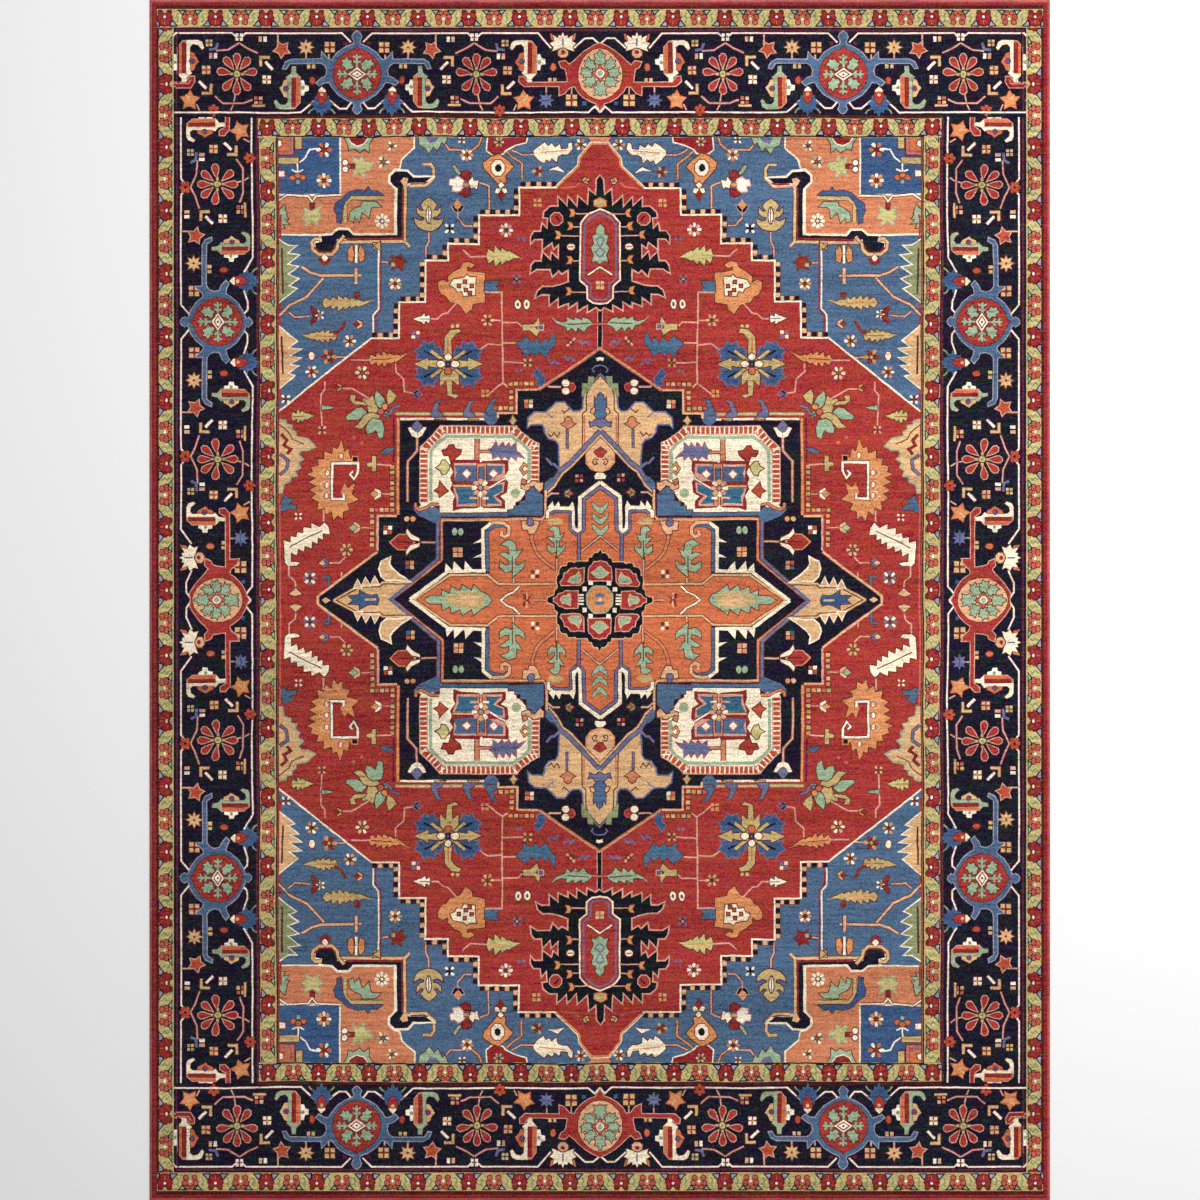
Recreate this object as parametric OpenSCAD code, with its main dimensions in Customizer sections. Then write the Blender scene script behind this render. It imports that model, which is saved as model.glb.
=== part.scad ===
// Hand-knotted medallion rug: a woven cotton ground, a wool pile knotted on it in zones,
// corded and overcast edges, and end webs turned under and stitched down.
// Millimetres. X runs across the rug, Y along it, Z up from the floor.
// The origin is the middle of the rug, on the face that lies on the floor.

/* [Rug] */
// Overall width, across the overcast sides
rug_w = 2743; // [1900:1:3400]
// Overall length, across the overcast ends
rug_l = 3658; // [2700:1:4500]

/* [Ground weave] */
// Thickness of the woven cotton ground that the knots are tied on
ground_t = 3; // [2.5:0.1:5]

/* [Pile] */
// Height of the sheared wool pile above the ground
pile_h = 8; // [4:0.5:14]

/* [Overcast edges] */
// Diameter of each of the two cotton cords inside an edge
cord_d = 2.8; // [1.5:0.1:3.6]
// Room between a cord and the wool wound over it
cord_clear = 0.05; // [0.02:0.01:0.2]
// Space between the two cords
cord_gap = 0.8; // [0.5:0.1:2]
// Thickness of the wool wound over the cords
overcast_t = 1.75; // [0.8:0.05:3]

/* [Borders] */
// Width of the plain knotted band inside the overcast edge
band_w = 12; // [6:1:30]
// Width of the outer guard border along the sides
outer_guard_side_w = 51; // [30:1:90]
// Width of the outer guard border along the ends
outer_guard_end_w = 63; // [30:1:90]
// Width of the main border along the sides
main_border_side_w = 259; // [160:1:330]
// Width of the main border along the ends
main_border_end_w = 273; // [160:1:340]
// Width of the inner guard border
inner_guard_w = 62; // [30:1:90]

/* [Field] */
// Space between each side point of the medallion and the inner guard border
medallion_side_gap = 115; // [60:1:200]
// Space between each end point of the medallion and the inner guard border
medallion_end_gap = 638; // [450:1:800]
// How far the stepped corner pieces reach down the sides of the field
corners_l = 836; // [600:1:960]

/* [Turned-under ends] */
// Width of the flat-woven web turned under each end
web_w = 42; // [20:1:80]
// Thickness of the web
web_t = 1.2; // [1:0.1:2]
// Diameter of the thread that stitches the web down
thread_d = 1; // [0.6:0.1:1]
// Length of one stitch
stitch_l = 9; // [5:1:14]
// Distance from one stitch to the next
stitch_pitch = 24; // [18:1:60]

/* [Hidden] */
$fn = 48;

// The overcast edge takes its size from the cords inside it
edge_t = cord_d + 2 * (cord_clear + overcast_t);
edge_r = edge_t / 2;
cord_pitch = cord_d + cord_gap;
edge_w = edge_t + cord_pitch;

// Half width and half length of the rug at the outside of each zone, outermost first
rug_half = [rug_w / 2, rug_l / 2];
ground_half = rug_half - [edge_w, edge_w];
guard_half = ground_half - [band_w, band_w];
border_half = guard_half - [outer_guard_side_w, outer_guard_end_w];
inner_half = border_half - [main_border_side_w, main_border_end_w];
field_half = inner_half - [inner_guard_w, inner_guard_w];
medallion_half = field_half - [medallion_side_gap, medallion_end_gap];

// The stitches run in a step of one thread's width beside the web
web_inner = ground_half[1] - web_w;
step_inner = web_inner - thread_d;

// Outlines as the weaver's drawing gives them, counted in knots for one quarter of the rug.
// The medallion, from its end point down its steps to its side point
medallion_knots = [283, 253];
medallion_drawing = [[0, 253], [62, 210], [84, 210], [84, 186], [203, 182],
    [203, 85], [223, 85], [223, 49], [283, 4]];
// The corner pieces, from the middle of the end to the side, as depth from the field's end
corners_knots = [321, 275];
corners_drawing = [[0, 7], [8, 7], [19, 21], [20, 29], [43, 51], [80, 51], [80, 78],
    [120, 78], [120, 107], [151, 107], [151, 124], [174, 124], [174, 165], [200, 165],
    [200, 201], [228, 201], [321, 275]];

function reversed(list) = [for (i = [len(list) - 1 : -1 : 0]) list[i]];
function flipped(points, sx, sy) = [for (p = points) [p[0] * sx, p[1] * sy]];

medallion_quarter = [for (p = medallion_drawing)
    [p[0] * medallion_half[0] / medallion_knots[0],
     p[1] * medallion_half[1] / medallion_knots[1]]];
corners_edge = [for (p = corners_drawing)
    [p[0] * field_half[0] / corners_knots[0],
     field_half[1] - p[1] * corners_l / corners_knots[1]]];

module medallion_outline() {
    quarter = medallion_quarter;
    polygon(concat(quarter, reversed(flipped(quarter, 1, -1)),
        flipped(quarter, -1, -1), reversed(flipped(quarter, -1, 1))));
}

// Both corner pieces of one end and the strip that joins them; side is 1 for the top end
module corners_outline(side) {
    edge = flipped(corners_edge, 1, side);
    end = side * field_half[1];
    polygon(concat([[field_half[0], end]], reversed(edge), flipped(edge, -1, 1),
        [[-field_half[0], end]]));
}

// A frame of four strips lies between the half sizes outer and inner. Its end strips run
// the whole width, and its side strips fit between them.
module end_strip(side, outer, inner) {
    translate([-outer[0], side > 0 ? inner[1] : -outer[1]])
        square([2 * outer[0], outer[1] - inner[1]]);
}

module side_strip(side, outer, inner) {
    translate([side > 0 ? inner[0] : -outer[0], -inner[1]])
        square([outer[0] - inner[0], 2 * inner[1]]);
}

// Wool knots fill an outline from the ground up to the sheared surface
module knotted(wool) {
    color(wool)
        translate([0, 0, ground_t])
            linear_extrude(pile_h)
                children();
}

// Cotton warps and wefts, stepped underneath at both ends for the webs
module ground_weave() {
    over = 1;
    color("antiquewhite")
        difference() {
            translate([-ground_half[0], -ground_half[1], 0])
                cube([2 * ground_half[0], 2 * ground_half[1], ground_t]);
            for (side = [0, 1])
                mirror([0, side, 0])
                    translate([-ground_half[0] - over, step_inner, -over])
                        cube([2 * (ground_half[0] + over), ground_half[1] - step_inner + over,
                            web_t + over]);
        }
}

// Lays a section, drawn with +X outwards and +Y up, along one edge of the rug
module along_edge(turn, reach, run) {
    rotate([0, 0, turn])
        translate([reach, run / 2, 0])
            rotate([90, 0, 0])
                linear_extrude(run)
                    children();
}

module along_side(turn) {
    along_edge(turn, rug_half[0], rug_l) children();
}

module along_end(turn) {
    along_edge(turn, rug_half[1], 2 * ground_half[0]) children();
}

module cord_places() {
    for (i = [0, 1])
        translate([-edge_r - i * cord_pitch, edge_r])
            children();
}

module cords_section() {
    cord_places() circle(cord_d / 2);
}

// Flat against the rug, round outside, with a bore for each cord
module overcast_section() {
    difference() {
        union() {
            translate([-edge_w, 0])
                square([edge_w - edge_r, edge_t]);
            translate([-edge_r, edge_r])
                circle(edge_r);
        }
        cord_places() circle(cord_d / 2 + cord_clear);
    }
}

module side_cords(turn) {
    color("wheat") along_side(turn) cords_section();
}

module end_cords(turn) {
    color("wheat") along_end(turn) cords_section();
}

module side_overcasting(turn) {
    color("brown") along_side(turn) overcast_section();
}

module end_overcasting(turn) {
    color("brown") along_end(turn) overcast_section();
}

// Flat-woven end of the warps and wefts, turned under the rug
module end_web(side) {
    color("linen")
        translate([-ground_half[0], side > 0 ? web_inner : -ground_half[1], 0])
            cube([2 * ground_half[0], web_w, web_t]);
}

// Running stitches between the web and the ground, each a separate thread
module web_stitches(side) {
    steps = floor((2 * ground_half[0] - stitch_l) / stitch_pitch);
    start = -(steps * stitch_pitch + stitch_l) / 2;
    color("burlywood")
        for (i = [0 : steps])
            translate([start + i * stitch_pitch, side * (web_inner + step_inner) / 2, web_t / 2])
                rotate([0, 90, 0])
                    cylinder(h = stitch_l, d = thread_d, $fn = 16);
}

module band_end(side) {
    knotted("brown") end_strip(side, ground_half, guard_half);
}

module band_side(side) {
    knotted("brown") side_strip(side, ground_half, guard_half);
}

module outer_guard_end(side) {
    knotted("darkkhaki") end_strip(side, guard_half, border_half);
}

module outer_guard_side(side) {
    knotted("darkkhaki") side_strip(side, guard_half, border_half);
}

module main_border_end(side) {
    knotted("midnightblue") end_strip(side, border_half, inner_half);
}

module main_border_side(side) {
    knotted("midnightblue") side_strip(side, border_half, inner_half);
}

module inner_guard_end(side) {
    knotted("tan") end_strip(side, inner_half, field_half);
}

module inner_guard_side(side) {
    knotted("tan") side_strip(side, inner_half, field_half);
}

module medallion() {
    knotted("darkslateblue") medallion_outline();
}

module corners(side) {
    knotted("steelblue") corners_outline(side);
}

module field() {
    knotted("firebrick")
        difference() {
            square(2 * field_half, center = true);
            medallion_outline();
            corners_outline(1);
            corners_outline(-1);
        }
}

ground_weave();
side_cords(180);  // left_edge_cords
side_cords(0);  // right_edge_cords
end_cords(90);  // top_edge_cords
end_cords(-90);  // bottom_edge_cords
side_overcasting(180);  // left_overcasting
side_overcasting(0);  // right_overcasting
end_overcasting(90);  // top_overcasting
end_overcasting(-90);  // bottom_overcasting
end_web(1);  // top_end_web
end_web(-1);  // bottom_end_web
web_stitches(1);  // top_web_stitches
web_stitches(-1);  // bottom_web_stitches
band_end(1);  // top_band_pile
band_end(-1);  // bottom_band_pile
band_side(-1);  // left_band_pile
band_side(1);  // right_band_pile
outer_guard_end(1);  // top_outer_guard_pile
outer_guard_end(-1);  // bottom_outer_guard_pile
outer_guard_side(-1);  // left_outer_guard_pile
outer_guard_side(1);  // right_outer_guard_pile
main_border_end(1);  // top_main_border_pile
main_border_end(-1);  // bottom_main_border_pile
main_border_side(-1);  // left_main_border_pile
main_border_side(1);  // right_main_border_pile
inner_guard_end(1);  // top_inner_guard_pile
inner_guard_end(-1);  // bottom_inner_guard_pile
inner_guard_side(-1);  // left_inner_guard_pile
inner_guard_side(1);  // right_inner_guard_pile
field();  // field_pile
medallion();  // medallion_pile
corners(1);  // top_corners_pile
corners(-1);  // bottom_corners_pile
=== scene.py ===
import cmath
import math

import bmesh
import bpy
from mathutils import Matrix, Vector, noise
from mathutils.geometry import delaunay_2d_cdt


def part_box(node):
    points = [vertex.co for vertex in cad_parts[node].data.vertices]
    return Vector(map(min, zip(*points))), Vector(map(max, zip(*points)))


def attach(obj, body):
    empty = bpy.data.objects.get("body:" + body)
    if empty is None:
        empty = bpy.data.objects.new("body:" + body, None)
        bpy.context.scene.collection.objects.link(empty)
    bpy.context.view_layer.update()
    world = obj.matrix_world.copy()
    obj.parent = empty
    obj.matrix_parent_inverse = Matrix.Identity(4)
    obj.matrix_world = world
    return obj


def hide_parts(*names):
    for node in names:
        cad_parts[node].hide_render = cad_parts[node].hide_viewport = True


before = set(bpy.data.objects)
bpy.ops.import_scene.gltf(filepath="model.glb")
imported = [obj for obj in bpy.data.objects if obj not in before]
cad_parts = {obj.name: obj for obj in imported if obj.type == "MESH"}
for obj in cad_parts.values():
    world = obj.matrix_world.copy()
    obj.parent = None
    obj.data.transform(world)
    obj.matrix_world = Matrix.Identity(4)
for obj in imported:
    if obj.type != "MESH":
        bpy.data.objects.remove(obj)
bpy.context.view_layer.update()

# ---- The medallion's pile -----------------------------------------------------------
# Wool yarn knotted round the warps and sheared level. The weaver follows a drawing of
# one quarter, counted in knots from the middle of the rug, and turns it over for the
# other three.

KNOTS_ACROSS = 900
knot = 2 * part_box("right_overcasting")[1].x / KNOTS_ACROSS
ground_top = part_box("ground_weave")[1].z
pile_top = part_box("medallion_pile")[1].z

# The dyer's wools, as screen colours from 0 to 255
WOOLS = {
    "madder": (161, 60, 55), "crimson": (140, 48, 48), "brick": (180, 80, 59),
    "rust": (201, 109, 75), "apricot": (203, 126, 92), "orange": (213, 140, 92),
    "peach": (220, 169, 130), "rose": (195, 96, 84), "pink": (211, 155, 136),
    "camel": (215, 171, 125), "straw": (192, 165, 113), "citron": (195, 182, 121),
    "ivory": (245, 227, 198), "chalk": (248, 234, 214), "mint": (151, 171, 140),
    "sage": (140, 146, 107), "sky": (80, 103, 131), "denim": (65, 89, 126),
    "teal": (63, 103, 128), "heather": (107, 107, 140), "lilac": (161, 151, 167),
    "plum": (94, 44, 61), "maroon": (84, 33, 34), "umber": (96, 56, 40),
    "night": (29, 26, 44), "jet": (21, 23, 33), "overcast": (180, 86, 84),
}
WOOL_NAMES = list(WOOLS)
SCREEN_GAMMA = 2.2


def shown(name):
    """A wool's colour as the shader takes it."""
    return [(c / 255) ** SCREEN_GAMMA for c in WOOLS[name]]


def beside(points, distance, closed):
    """The points moved to the right of the way they run, with mitred corners."""
    moved = []
    for i, point in enumerate(points):
        ways = []
        if closed or i > 0:
            ways.append(point - points[i - 1])
        if closed or i < len(points) - 1:
            ways.append(points[(i + 1) % len(points)] - point)
        ways = [way / abs(way) for way in ways if abs(way) > 1e-6]
        along = sum(ways)
        along = along / abs(along) if abs(along) > 0.2 else ways[0] * 1j
        reach = (along * ways[0].conjugate()).real
        moved.append(point - 1j * along * distance / max(0.5, reach))
    return moved


def turns_left(points):
    """Whether a ring of points runs anticlockwise."""
    return sum((a.conjugate() * b).imag for a, b in zip(points, points[1:] + points[:1])) > 0


class Drawing:
    """A zone's pattern, in knots from the rug's middle: patches of wool, each over the
    ones before it."""

    def __init__(self, outline, wool):
        self.patches = []
        self.put = lambda z: z
        self.patch(wool, outline)

    def at(self, x, y, turn=0, size=1, flip=False, wide=1):
        """The same drawing, with its own middle, turn, size and width for one motif."""
        part = Drawing.__new__(Drawing)
        part.patches = self.patches
        spin = cmath.rect(size, math.radians(turn))
        across = -wide if flip else wide
        outer = self.put
        part.put = lambda z: outer(complex(x, y) + spin * complex(across * z.real, z.imag))
        return part

    def patch(self, wool, points, edge=None, width=1.0):
        """A patch of one wool, with a line of edge round it."""
        ring = [self.put(complex(*p)) for p in points]
        if edge:
            out = beside(ring, width if turns_left(ring) else -width, True)
            for i in range(len(ring)):
                j = (i + 1) % len(ring)
                self.patches.append((edge, [ring[i], ring[j], out[j], out[i]]))
        self.patches.append((wool, ring))

    def line(self, wool, points, width=1.6, edge=None, closed=False):
        """A line of one wool, with edge on both sides of it."""
        if edge:
            self.line(edge, points, width + 1.6, closed=closed)
        run = [self.put(complex(*p)) for p in points]
        left = beside(run, -width / 2, closed)
        right = beside(run, width / 2, closed)
        for i in range(len(run) - (0 if closed else 1)):
            j = (i + 1) % len(run)
            self.patches.append((wool, [left[i], left[j], right[j], right[i]]))

    def disc(self, wool, x, y, r, tall=1.0, sides=8, edge=None, width=1.0):
        """A round patch, or a square one with four sides; tall stretches it upright."""
        corners = [math.tau * (i + 0.5) / sides for i in range(sides)]
        ring = [(x + r * math.cos(a), y + r * tall * math.sin(a)) for a in corners]
        self.patch(wool, ring, edge, width)

    def dots(self, wool, places, r=1.6):
        """The same small dot at each of the places."""
        for x, y in places:
            self.disc(wool, x, y, r, sides=6)

    def both(self, wool, half, edge=None, width=1.0):
        """A patch the same on both sides of the motif's own upright middle line."""
        other = [(-x, y) for x, y in reversed(half) if x > 0]
        self.patch(wool, half + other, edge, width)


def leaf(d, wool, x, y, length, width, turn=0, teeth=4, edge=None, vein=None, hook=0):
    """A serrated leaf from its stalk at (x, y) along turn, with a hooked tip."""
    d = d.at(x, y, turn)
    side = [(0, 1)]
    for i in range(teeth):
        start = length * (0.08 + 0.8 * i / teeth)
        step = 0.8 * length / teeth
        swell = width / 2 * (1 - 0.45 * abs(2 * i / max(1, teeth - 1) - 0.8))
        side += [(start - step * 0.12, swell * 1.1), (start + step * 0.7, swell * 0.5)]
    tip = [(length, hook * 0.6), (length * (1.0 + 0.1 * abs(hook) / 4), hook)]
    lower = [(px, -py) for px, py in reversed(side)]
    d.patch(wool, side + tip + lower, edge)
    if vein:
        d.line(vein, [(0, 0), (length * 0.6, 0)], 1.0)


def rosette(d, x, y, r, petals, heart, count=8, edge=None, turn=0, slim=1.0):
    """A small open flower: separate petals, dark between them near the heart."""
    d = d.at(x, y, turn)
    if edge:
        d.disc(edge, 0, 0, 0.68 * r, sides=count)
    wide = 0.21 * r * slim
    for i in range(count):
        d.at(0, 0, 360 * i / count).patch(petals[i % len(petals)], [
            (0.3 * r, 0), (0.55 * r, wide), (0.93 * r, wide), (r, 0),
            (0.93 * r, -wide), (0.55 * r, -wide)])
    d.disc(heart, 0, 0, 0.22 * r, sides=6)


def tulip(d, x, y, size, cup, bud, turn=0, edge=None, stem=0, stem_wool="pink"):
    """A bud between two pointed cup leaves, facing along turn, on a straight stem."""
    d = d.at(x, y, turn, size)
    if stem:
        d.line(stem_wool, [(-stem / size, 0), (0, 0)], 1.5 / size)
    d.patch(bud, [(2, 0), (3, 2), (6, 2.4), (9, 0), (6, -2.4), (3, -2)], edge, 0.8 / size)
    for s in (1, -1):
        d.patch(cup, [(0, 0), (1, 2.4 * s), (5, 4.6 * s), (5.4, 3 * s), (3, 1.2 * s),
                      (2.6, 0)], edge, 0.8 / size)


def four_dots(d, x, y, wools, r=1.5, apart=2.3, heart=None):
    """Four blocks set square, the small filler that the weaver drops into any gap."""
    spots = ((-apart, apart), (apart, apart), (apart, -apart), (-apart, -apart))
    if heart:
        d.disc(heart, x, y, apart, sides=4)
    for i, (dx, dy) in enumerate(spots):
        d.patch(wools[i % len(wools)],
                [(x + dx - r, y + dy - r), (x + dx + r, y + dy - r),
                 (x + dx + r, y + dy + r), (x + dx - r, y + dy + r)])


# The hand strays in the same way each time the script runs
noise.seed_set(1)


# How far the hand strays from the drawing, in knots: slowly over a hand's breadth, and a
# little from knot to knot. Both ease to nothing near the edges, which are kept straight.
DRIFT, DRIFT_SPAN = 1.1, 70
SHAKE, SHAKE_SPAN = 0.55, 4.5
STRAIGHT_X, STRAIGHT_Y, EASE_SPAN = 443, 590, 60


def hand_drawn(x, y):
    """Where the weaver's hand puts the knot that the drawing has at (x, y), in metres."""
    ease = max(0, min(1, (STRAIGHT_X - abs(x)) / EASE_SPAN, (STRAIGHT_Y - abs(y)) / EASE_SPAN))
    drift = noise.noise_vector(Vector((x / DRIFT_SPAN, y / DRIFT_SPAN, 3)))
    shake = noise.noise_vector(Vector((x / SHAKE_SPAN, y / SHAKE_SPAN, 9)))
    return ((x + ease * (DRIFT * drift.x + SHAKE * shake.x)) * knot,
            (y + ease * (DRIFT * drift.y + SHAKE * shake.y)) * knot)


# Points of a net that are nearer than this, in knots, become one
MERGE = 0.03


def knotted(drawing, across=True, down=True, longest=7):
    """A flat net of one zone, each face in the last wool drawn over it. A drawing of a
    quarter or a half is turned over across, down or both ways."""
    points, rings = [], []
    for _, ring in drawing.patches:
        if not turns_left(ring):
            ring = ring[::-1]
        first = len(points)
        for a, b in zip(ring, ring[1:] + ring[:1]):
            cuts = max(1, math.ceil(abs(b - a) / longest))
            points += [a + (b - a) * i / cuts for i in range(cuts)]
        rings.append(list(range(first, len(points))))
    outline = drawing.patches[0][1]
    low = complex(min(p.real for p in outline), min(p.imag for p in outline))
    high = complex(max(p.real for p in outline), max(p.imag for p in outline))
    for i in range(1, int((high.real - low.real) / longest)):
        for j in range(1, int((high.imag - low.imag) / longest)):
            points.append(low + complex(i + 0.3 * (j % 2), j) * longest)
    flat = [Vector((p.real, p.imag)) for p in points]
    made, _, faces, _, _, _ = delaunay_2d_cdt(flat, [], rings, 1, 1e-3, False)
    middles = {}
    for i, face in enumerate(faces):
        middle = sum((made[v] for v in face), Vector((0, 0))) / 3
        cell = (int(middle.x // longest), int(middle.y // longest))
        middles.setdefault(cell, []).append((i, middle.x, middle.y))
    owner = {}
    for wool_name, ring in drawing.patches:
        edges = [(a.real, a.imag, b.real, b.imag) for a, b in zip(ring, ring[1:] + ring[:1])]
        xs, ys = [e[0] for e in edges], [e[1] for e in edges]
        for column in range(int(min(xs) // longest), int(max(xs) // longest) + 1):
            for row in range(int(min(ys) // longest), int(max(ys) // longest) + 1):
                for i, x, y in middles.get((column, row), ()):
                    if (i in owner or ring is outline) and winds_round(edges, x, y):
                        owner[i] = wool_name
    bm = bmesh.new()
    wool = bm.faces.layers.int.new("wool")
    verts = [bm.verts.new((p.x, p.y, 0)) for p in made]
    for i, name in owner.items():
        bm.faces.new([verts[v] for v in faces[i]])[wool] = WOOL_NAMES.index(name)
    bmesh.ops.delete(bm, geom=[v for v in bm.verts if not v.link_faces], context="VERTS")
    for axis, wanted in (("X", across), ("Y", down)):
        if wanted:
            bmesh.ops.mirror(bm, geom=bm.verts[:] + bm.edges[:] + bm.faces[:],
                             axis=axis, merge_dist=0.01)
    bmesh.ops.remove_doubles(bm, verts=bm.verts[:], dist=MERGE)
    return bm


def winds_round(edges, x, y):
    """Whether a ring of edges goes round the point."""
    turns = 0
    for ax, ay, bx, by in edges:
        if (ay <= y) != (by <= y):
            side = (bx - ax) * (y - ay) - (x - ax) * (by - ay)
            turns += (ay <= y and side > 0) - (ay > y and side < 0)
    return turns != 0


# Dark dyes eat the wool, so their pile is a little lower. The whole top swells by less
# than that over thirty knots.
CORRODED = 0.0006
SWELL, SWELL_SPAN = 0.0005, 30
# The flat plan of a zone fills the middle of its own square, and its walls go beside it
PLAN_MARGIN, WALL_MARGIN = 0.02, 0.005


def sheared(bm, name, nodes):
    """Lift a flat net to the top of the pile, and close it down to the ground weave."""
    wool = bm.faces.layers.int["wool"]
    colour = bm.loops.layers.float_color.new("wool_colour")
    plan = bm.loops.layers.uv.new("OFBake")
    bm.normal_update()
    bmesh.ops.reverse_faces(bm, faces=[f for f in bm.faces if f.normal.z < 0])
    low = Vector((min(v.co.x for v in bm.verts), min(v.co.y for v in bm.verts)))
    high = Vector((max(v.co.x for v in bm.verts), max(v.co.y for v in bm.verts)))
    for face in bm.faces:
        shade = shown(WOOL_NAMES[face[wool]])
        for loop in face.loops:
            loop[colour] = (*shade, 1)
            share = [(loop.vert.co[i] - low[i]) / (high[i] - low[i]) for i in (0, 1)]
            loop[plan].uv = [PLAN_MARGIN + (1 - 2 * PLAN_MARGIN) * part for part in share]
    worn = {WOOL_NAMES.index(w): CORRODED for w in ("night", "jet", "umber", "maroon")}
    for v in bm.verts:
        x, y = v.co.x, v.co.y
        sink = sum(worn.get(f[wool], 0) for f in v.link_faces) / max(1, len(v.link_faces))
        swell = SWELL * noise.noise(Vector((x / SWELL_SPAN, y / SWELL_SPAN, 1)))
        v.co = (*hand_drawn(x, y), pile_top - sink + swell)
    rim = [e for e in bm.edges if e.is_boundary]
    walls = bmesh.ops.extrude_edge_only(bm, edges=rim)["geom"]
    feet = [g for g in walls if isinstance(g, bmesh.types.BMVert)]
    for v in feet:
        v.co.z = ground_top
    edges = [e for e in bm.edges if e.is_boundary]
    bmesh.ops.triangle_fill(bm, edges=edges, normal=(0, 0, -1))
    bmesh.ops.recalc_face_normals(bm, faces=bm.faces[:])
    for face in bm.faces:
        if face.normal.z < 0.3:
            for loop in face.loops:
                if loop[colour][3] == 0:
                    loop[colour] = (*shown("madder"), 1)
                share = (loop.vert.co.y / knot - low.y) / (high.y - low.y)
                loop[plan].uv = (WALL_MARGIN, WALL_MARGIN + (1 - 2 * WALL_MARGIN) * share)
    mesh = bpy.data.meshes.new(name)
    bm.to_mesh(mesh)
    bm.free()
    piece = bpy.data.objects.new(name, mesh)
    bpy.context.collection.objects.link(piece)
    mesh.materials.append(wool_pile)
    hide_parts(*nodes)
    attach(piece, "root")
    return piece


def node_group(name, takes, gives):
    """An empty shader group with its named sockets."""
    group = bpy.data.node_groups.new(name, "ShaderNodeTree")
    for way, sockets in (("INPUT", takes), ("OUTPUT", gives)):
        for label, kind in sockets.items():
            group.interface.new_socket(name=label, in_out=way, socket_type="NodeSocket" + kind)
    return group, group.nodes.new("NodeGroupInput"), group.nodes.new("NodeGroupOutput")


def add(tree, kind, inputs=None, **settings):
    """A shader node with its settings, and its inputs set or linked."""
    made = tree.nodes.new("ShaderNode" + kind)
    for key, value in settings.items():
        setattr(made, key, value)
    for key, value in (inputs or {}).items():
        if isinstance(value, bpy.types.NodeSocket):
            tree.links.new(value, made.inputs[key])
        else:
            made.inputs[key].default_value = value
    return made


def surface(name, **inputs):
    """A new material with only its Principled shader, and that shader."""
    made = bpy.data.materials.new(name)
    made.use_nodes = True
    shader = made.node_tree.nodes["Principled BSDF"]
    for key, value in inputs.items():
        shader.inputs[key.replace("_", " ")].default_value = value
    return made, shader


# Abrash, the streaks that each new batch of dyed yarn leaves along the rows, with the
# knots' own unevenness and the nap of the pile
abrash, given, result = node_group("Abrash", {"Wool": "Color", "Streaks": "Float"},
                                   {"Colour": "Color", "Roughness": "Float", "Height": "Float"})
place = add(abrash, "TexCoord").outputs["Object"]


def mottle(tree, vector, scale, detail, spread, offset=(0, 0, 0)):
    """Noise about zero, stretched by the scale."""
    mapped = add(tree, "Mapping", {"Vector": vector, "Scale": scale, "Location": offset})
    grain = add(tree, "TexNoise", {"Vector": mapped.outputs[0], "Scale": 1.0, "Detail": detail})
    return add(tree, "MapRange", {"Value": grain.outputs[0], "From Min": 0.25, "From Max": 0.75,
                                  "To Min": -spread, "To Max": spread}).outputs[0]


counted = add(abrash, "Mapping", {"Vector": place, "Scale": (1 / knot, 1 / knot, 1)})
whole = add(abrash, "VectorMath", {0: counted.outputs[0]}, operation="FLOOR")
each = add(abrash, "TexWhiteNoise", {"Vector": whole.outputs[0]}, noise_dimensions="2D")
uneven = add(abrash, "MapRange", {"Value": each.outputs[0], "To Min": -1.0, "To Max": 1.0})
fuzz = add(abrash, "TexNoise", {"Vector": place, "Scale": 900.0, "Detail": 2.0})
total = uneven.outputs[0]
for other in (mottle(abrash, place, (45, 270, 1), 2.0, 1.6),
              mottle(abrash, place, (9, 110, 1), 3.0, 1.5, (2, 7, 0)),
              mottle(abrash, place, (1.2, 26, 1), 3.0, 0.8, (4, 2, 0)),
              mottle(abrash, place, (0.6, 5, 1), 2.0, 0.9, (3, 5, 0)),
              mottle(abrash, place, (170, 170, 1), 1.0, 1.5, (8, 1, 0))):
    total = add(abrash, "Math", {0: total, 1: other}, operation="ADD").outputs[0]
strength = add(abrash, "Math", {0: total, 1: given.outputs["Streaks"], 2: 1.0},
               operation="MULTIPLY_ADD")
shaded = add(abrash, "VectorMath", {0: given.outputs["Wool"], "Scale": strength.outputs[0]},
             operation="SCALE").outputs[0]
for scale, spread in (((11, 130, 1), 0.055), ((190, 230, 1), 0.07)):
    mapped = add(abrash, "Mapping", {"Vector": place, "Scale": scale})
    tint = add(abrash, "TexNoise", {"Vector": mapped.outputs[0], "Scale": 1.0, "Detail": 1.0})
    shift = add(abrash, "VectorMath", {0: tint.outputs["Color"], 1: (0.5, 0.5, 0.5)},
                operation="SUBTRACT")
    shaded = add(abrash, "VectorMath", {0: shift.outputs[0], 1: (spread, spread, spread),
                                        2: shaded}, operation="MULTIPLY_ADD").outputs[0]
speck = add(abrash, "VectorMath", {0: each.outputs["Color"], 1: (0.5, 0.5, 0.5)},
            operation="SUBTRACT")
shaded = add(abrash, "VectorMath", {0: speck.outputs[0], 1: (0.05, 0.05, 0.05), 2: shaded},
             operation="MULTIPLY_ADD").outputs[0]
kept = add(abrash, "VectorMath", {0: shaded, 1: (0.004, 0.004, 0.006)}, operation="MAXIMUM")
abrash.links.new(kept.outputs[0], result.inputs["Colour"])
rough = add(abrash, "MapRange", {"Value": fuzz.outputs[0], "To Min": 0.82, "To Max": 1.0})
abrash.links.new(rough.outputs[0], result.inputs["Roughness"])
tuft = add(abrash, "Math", {0: each.outputs[0], 1: fuzz.outputs[0]}, operation="ADD")
abrash.links.new(tuft.outputs[0], result.inputs["Height"])

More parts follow.
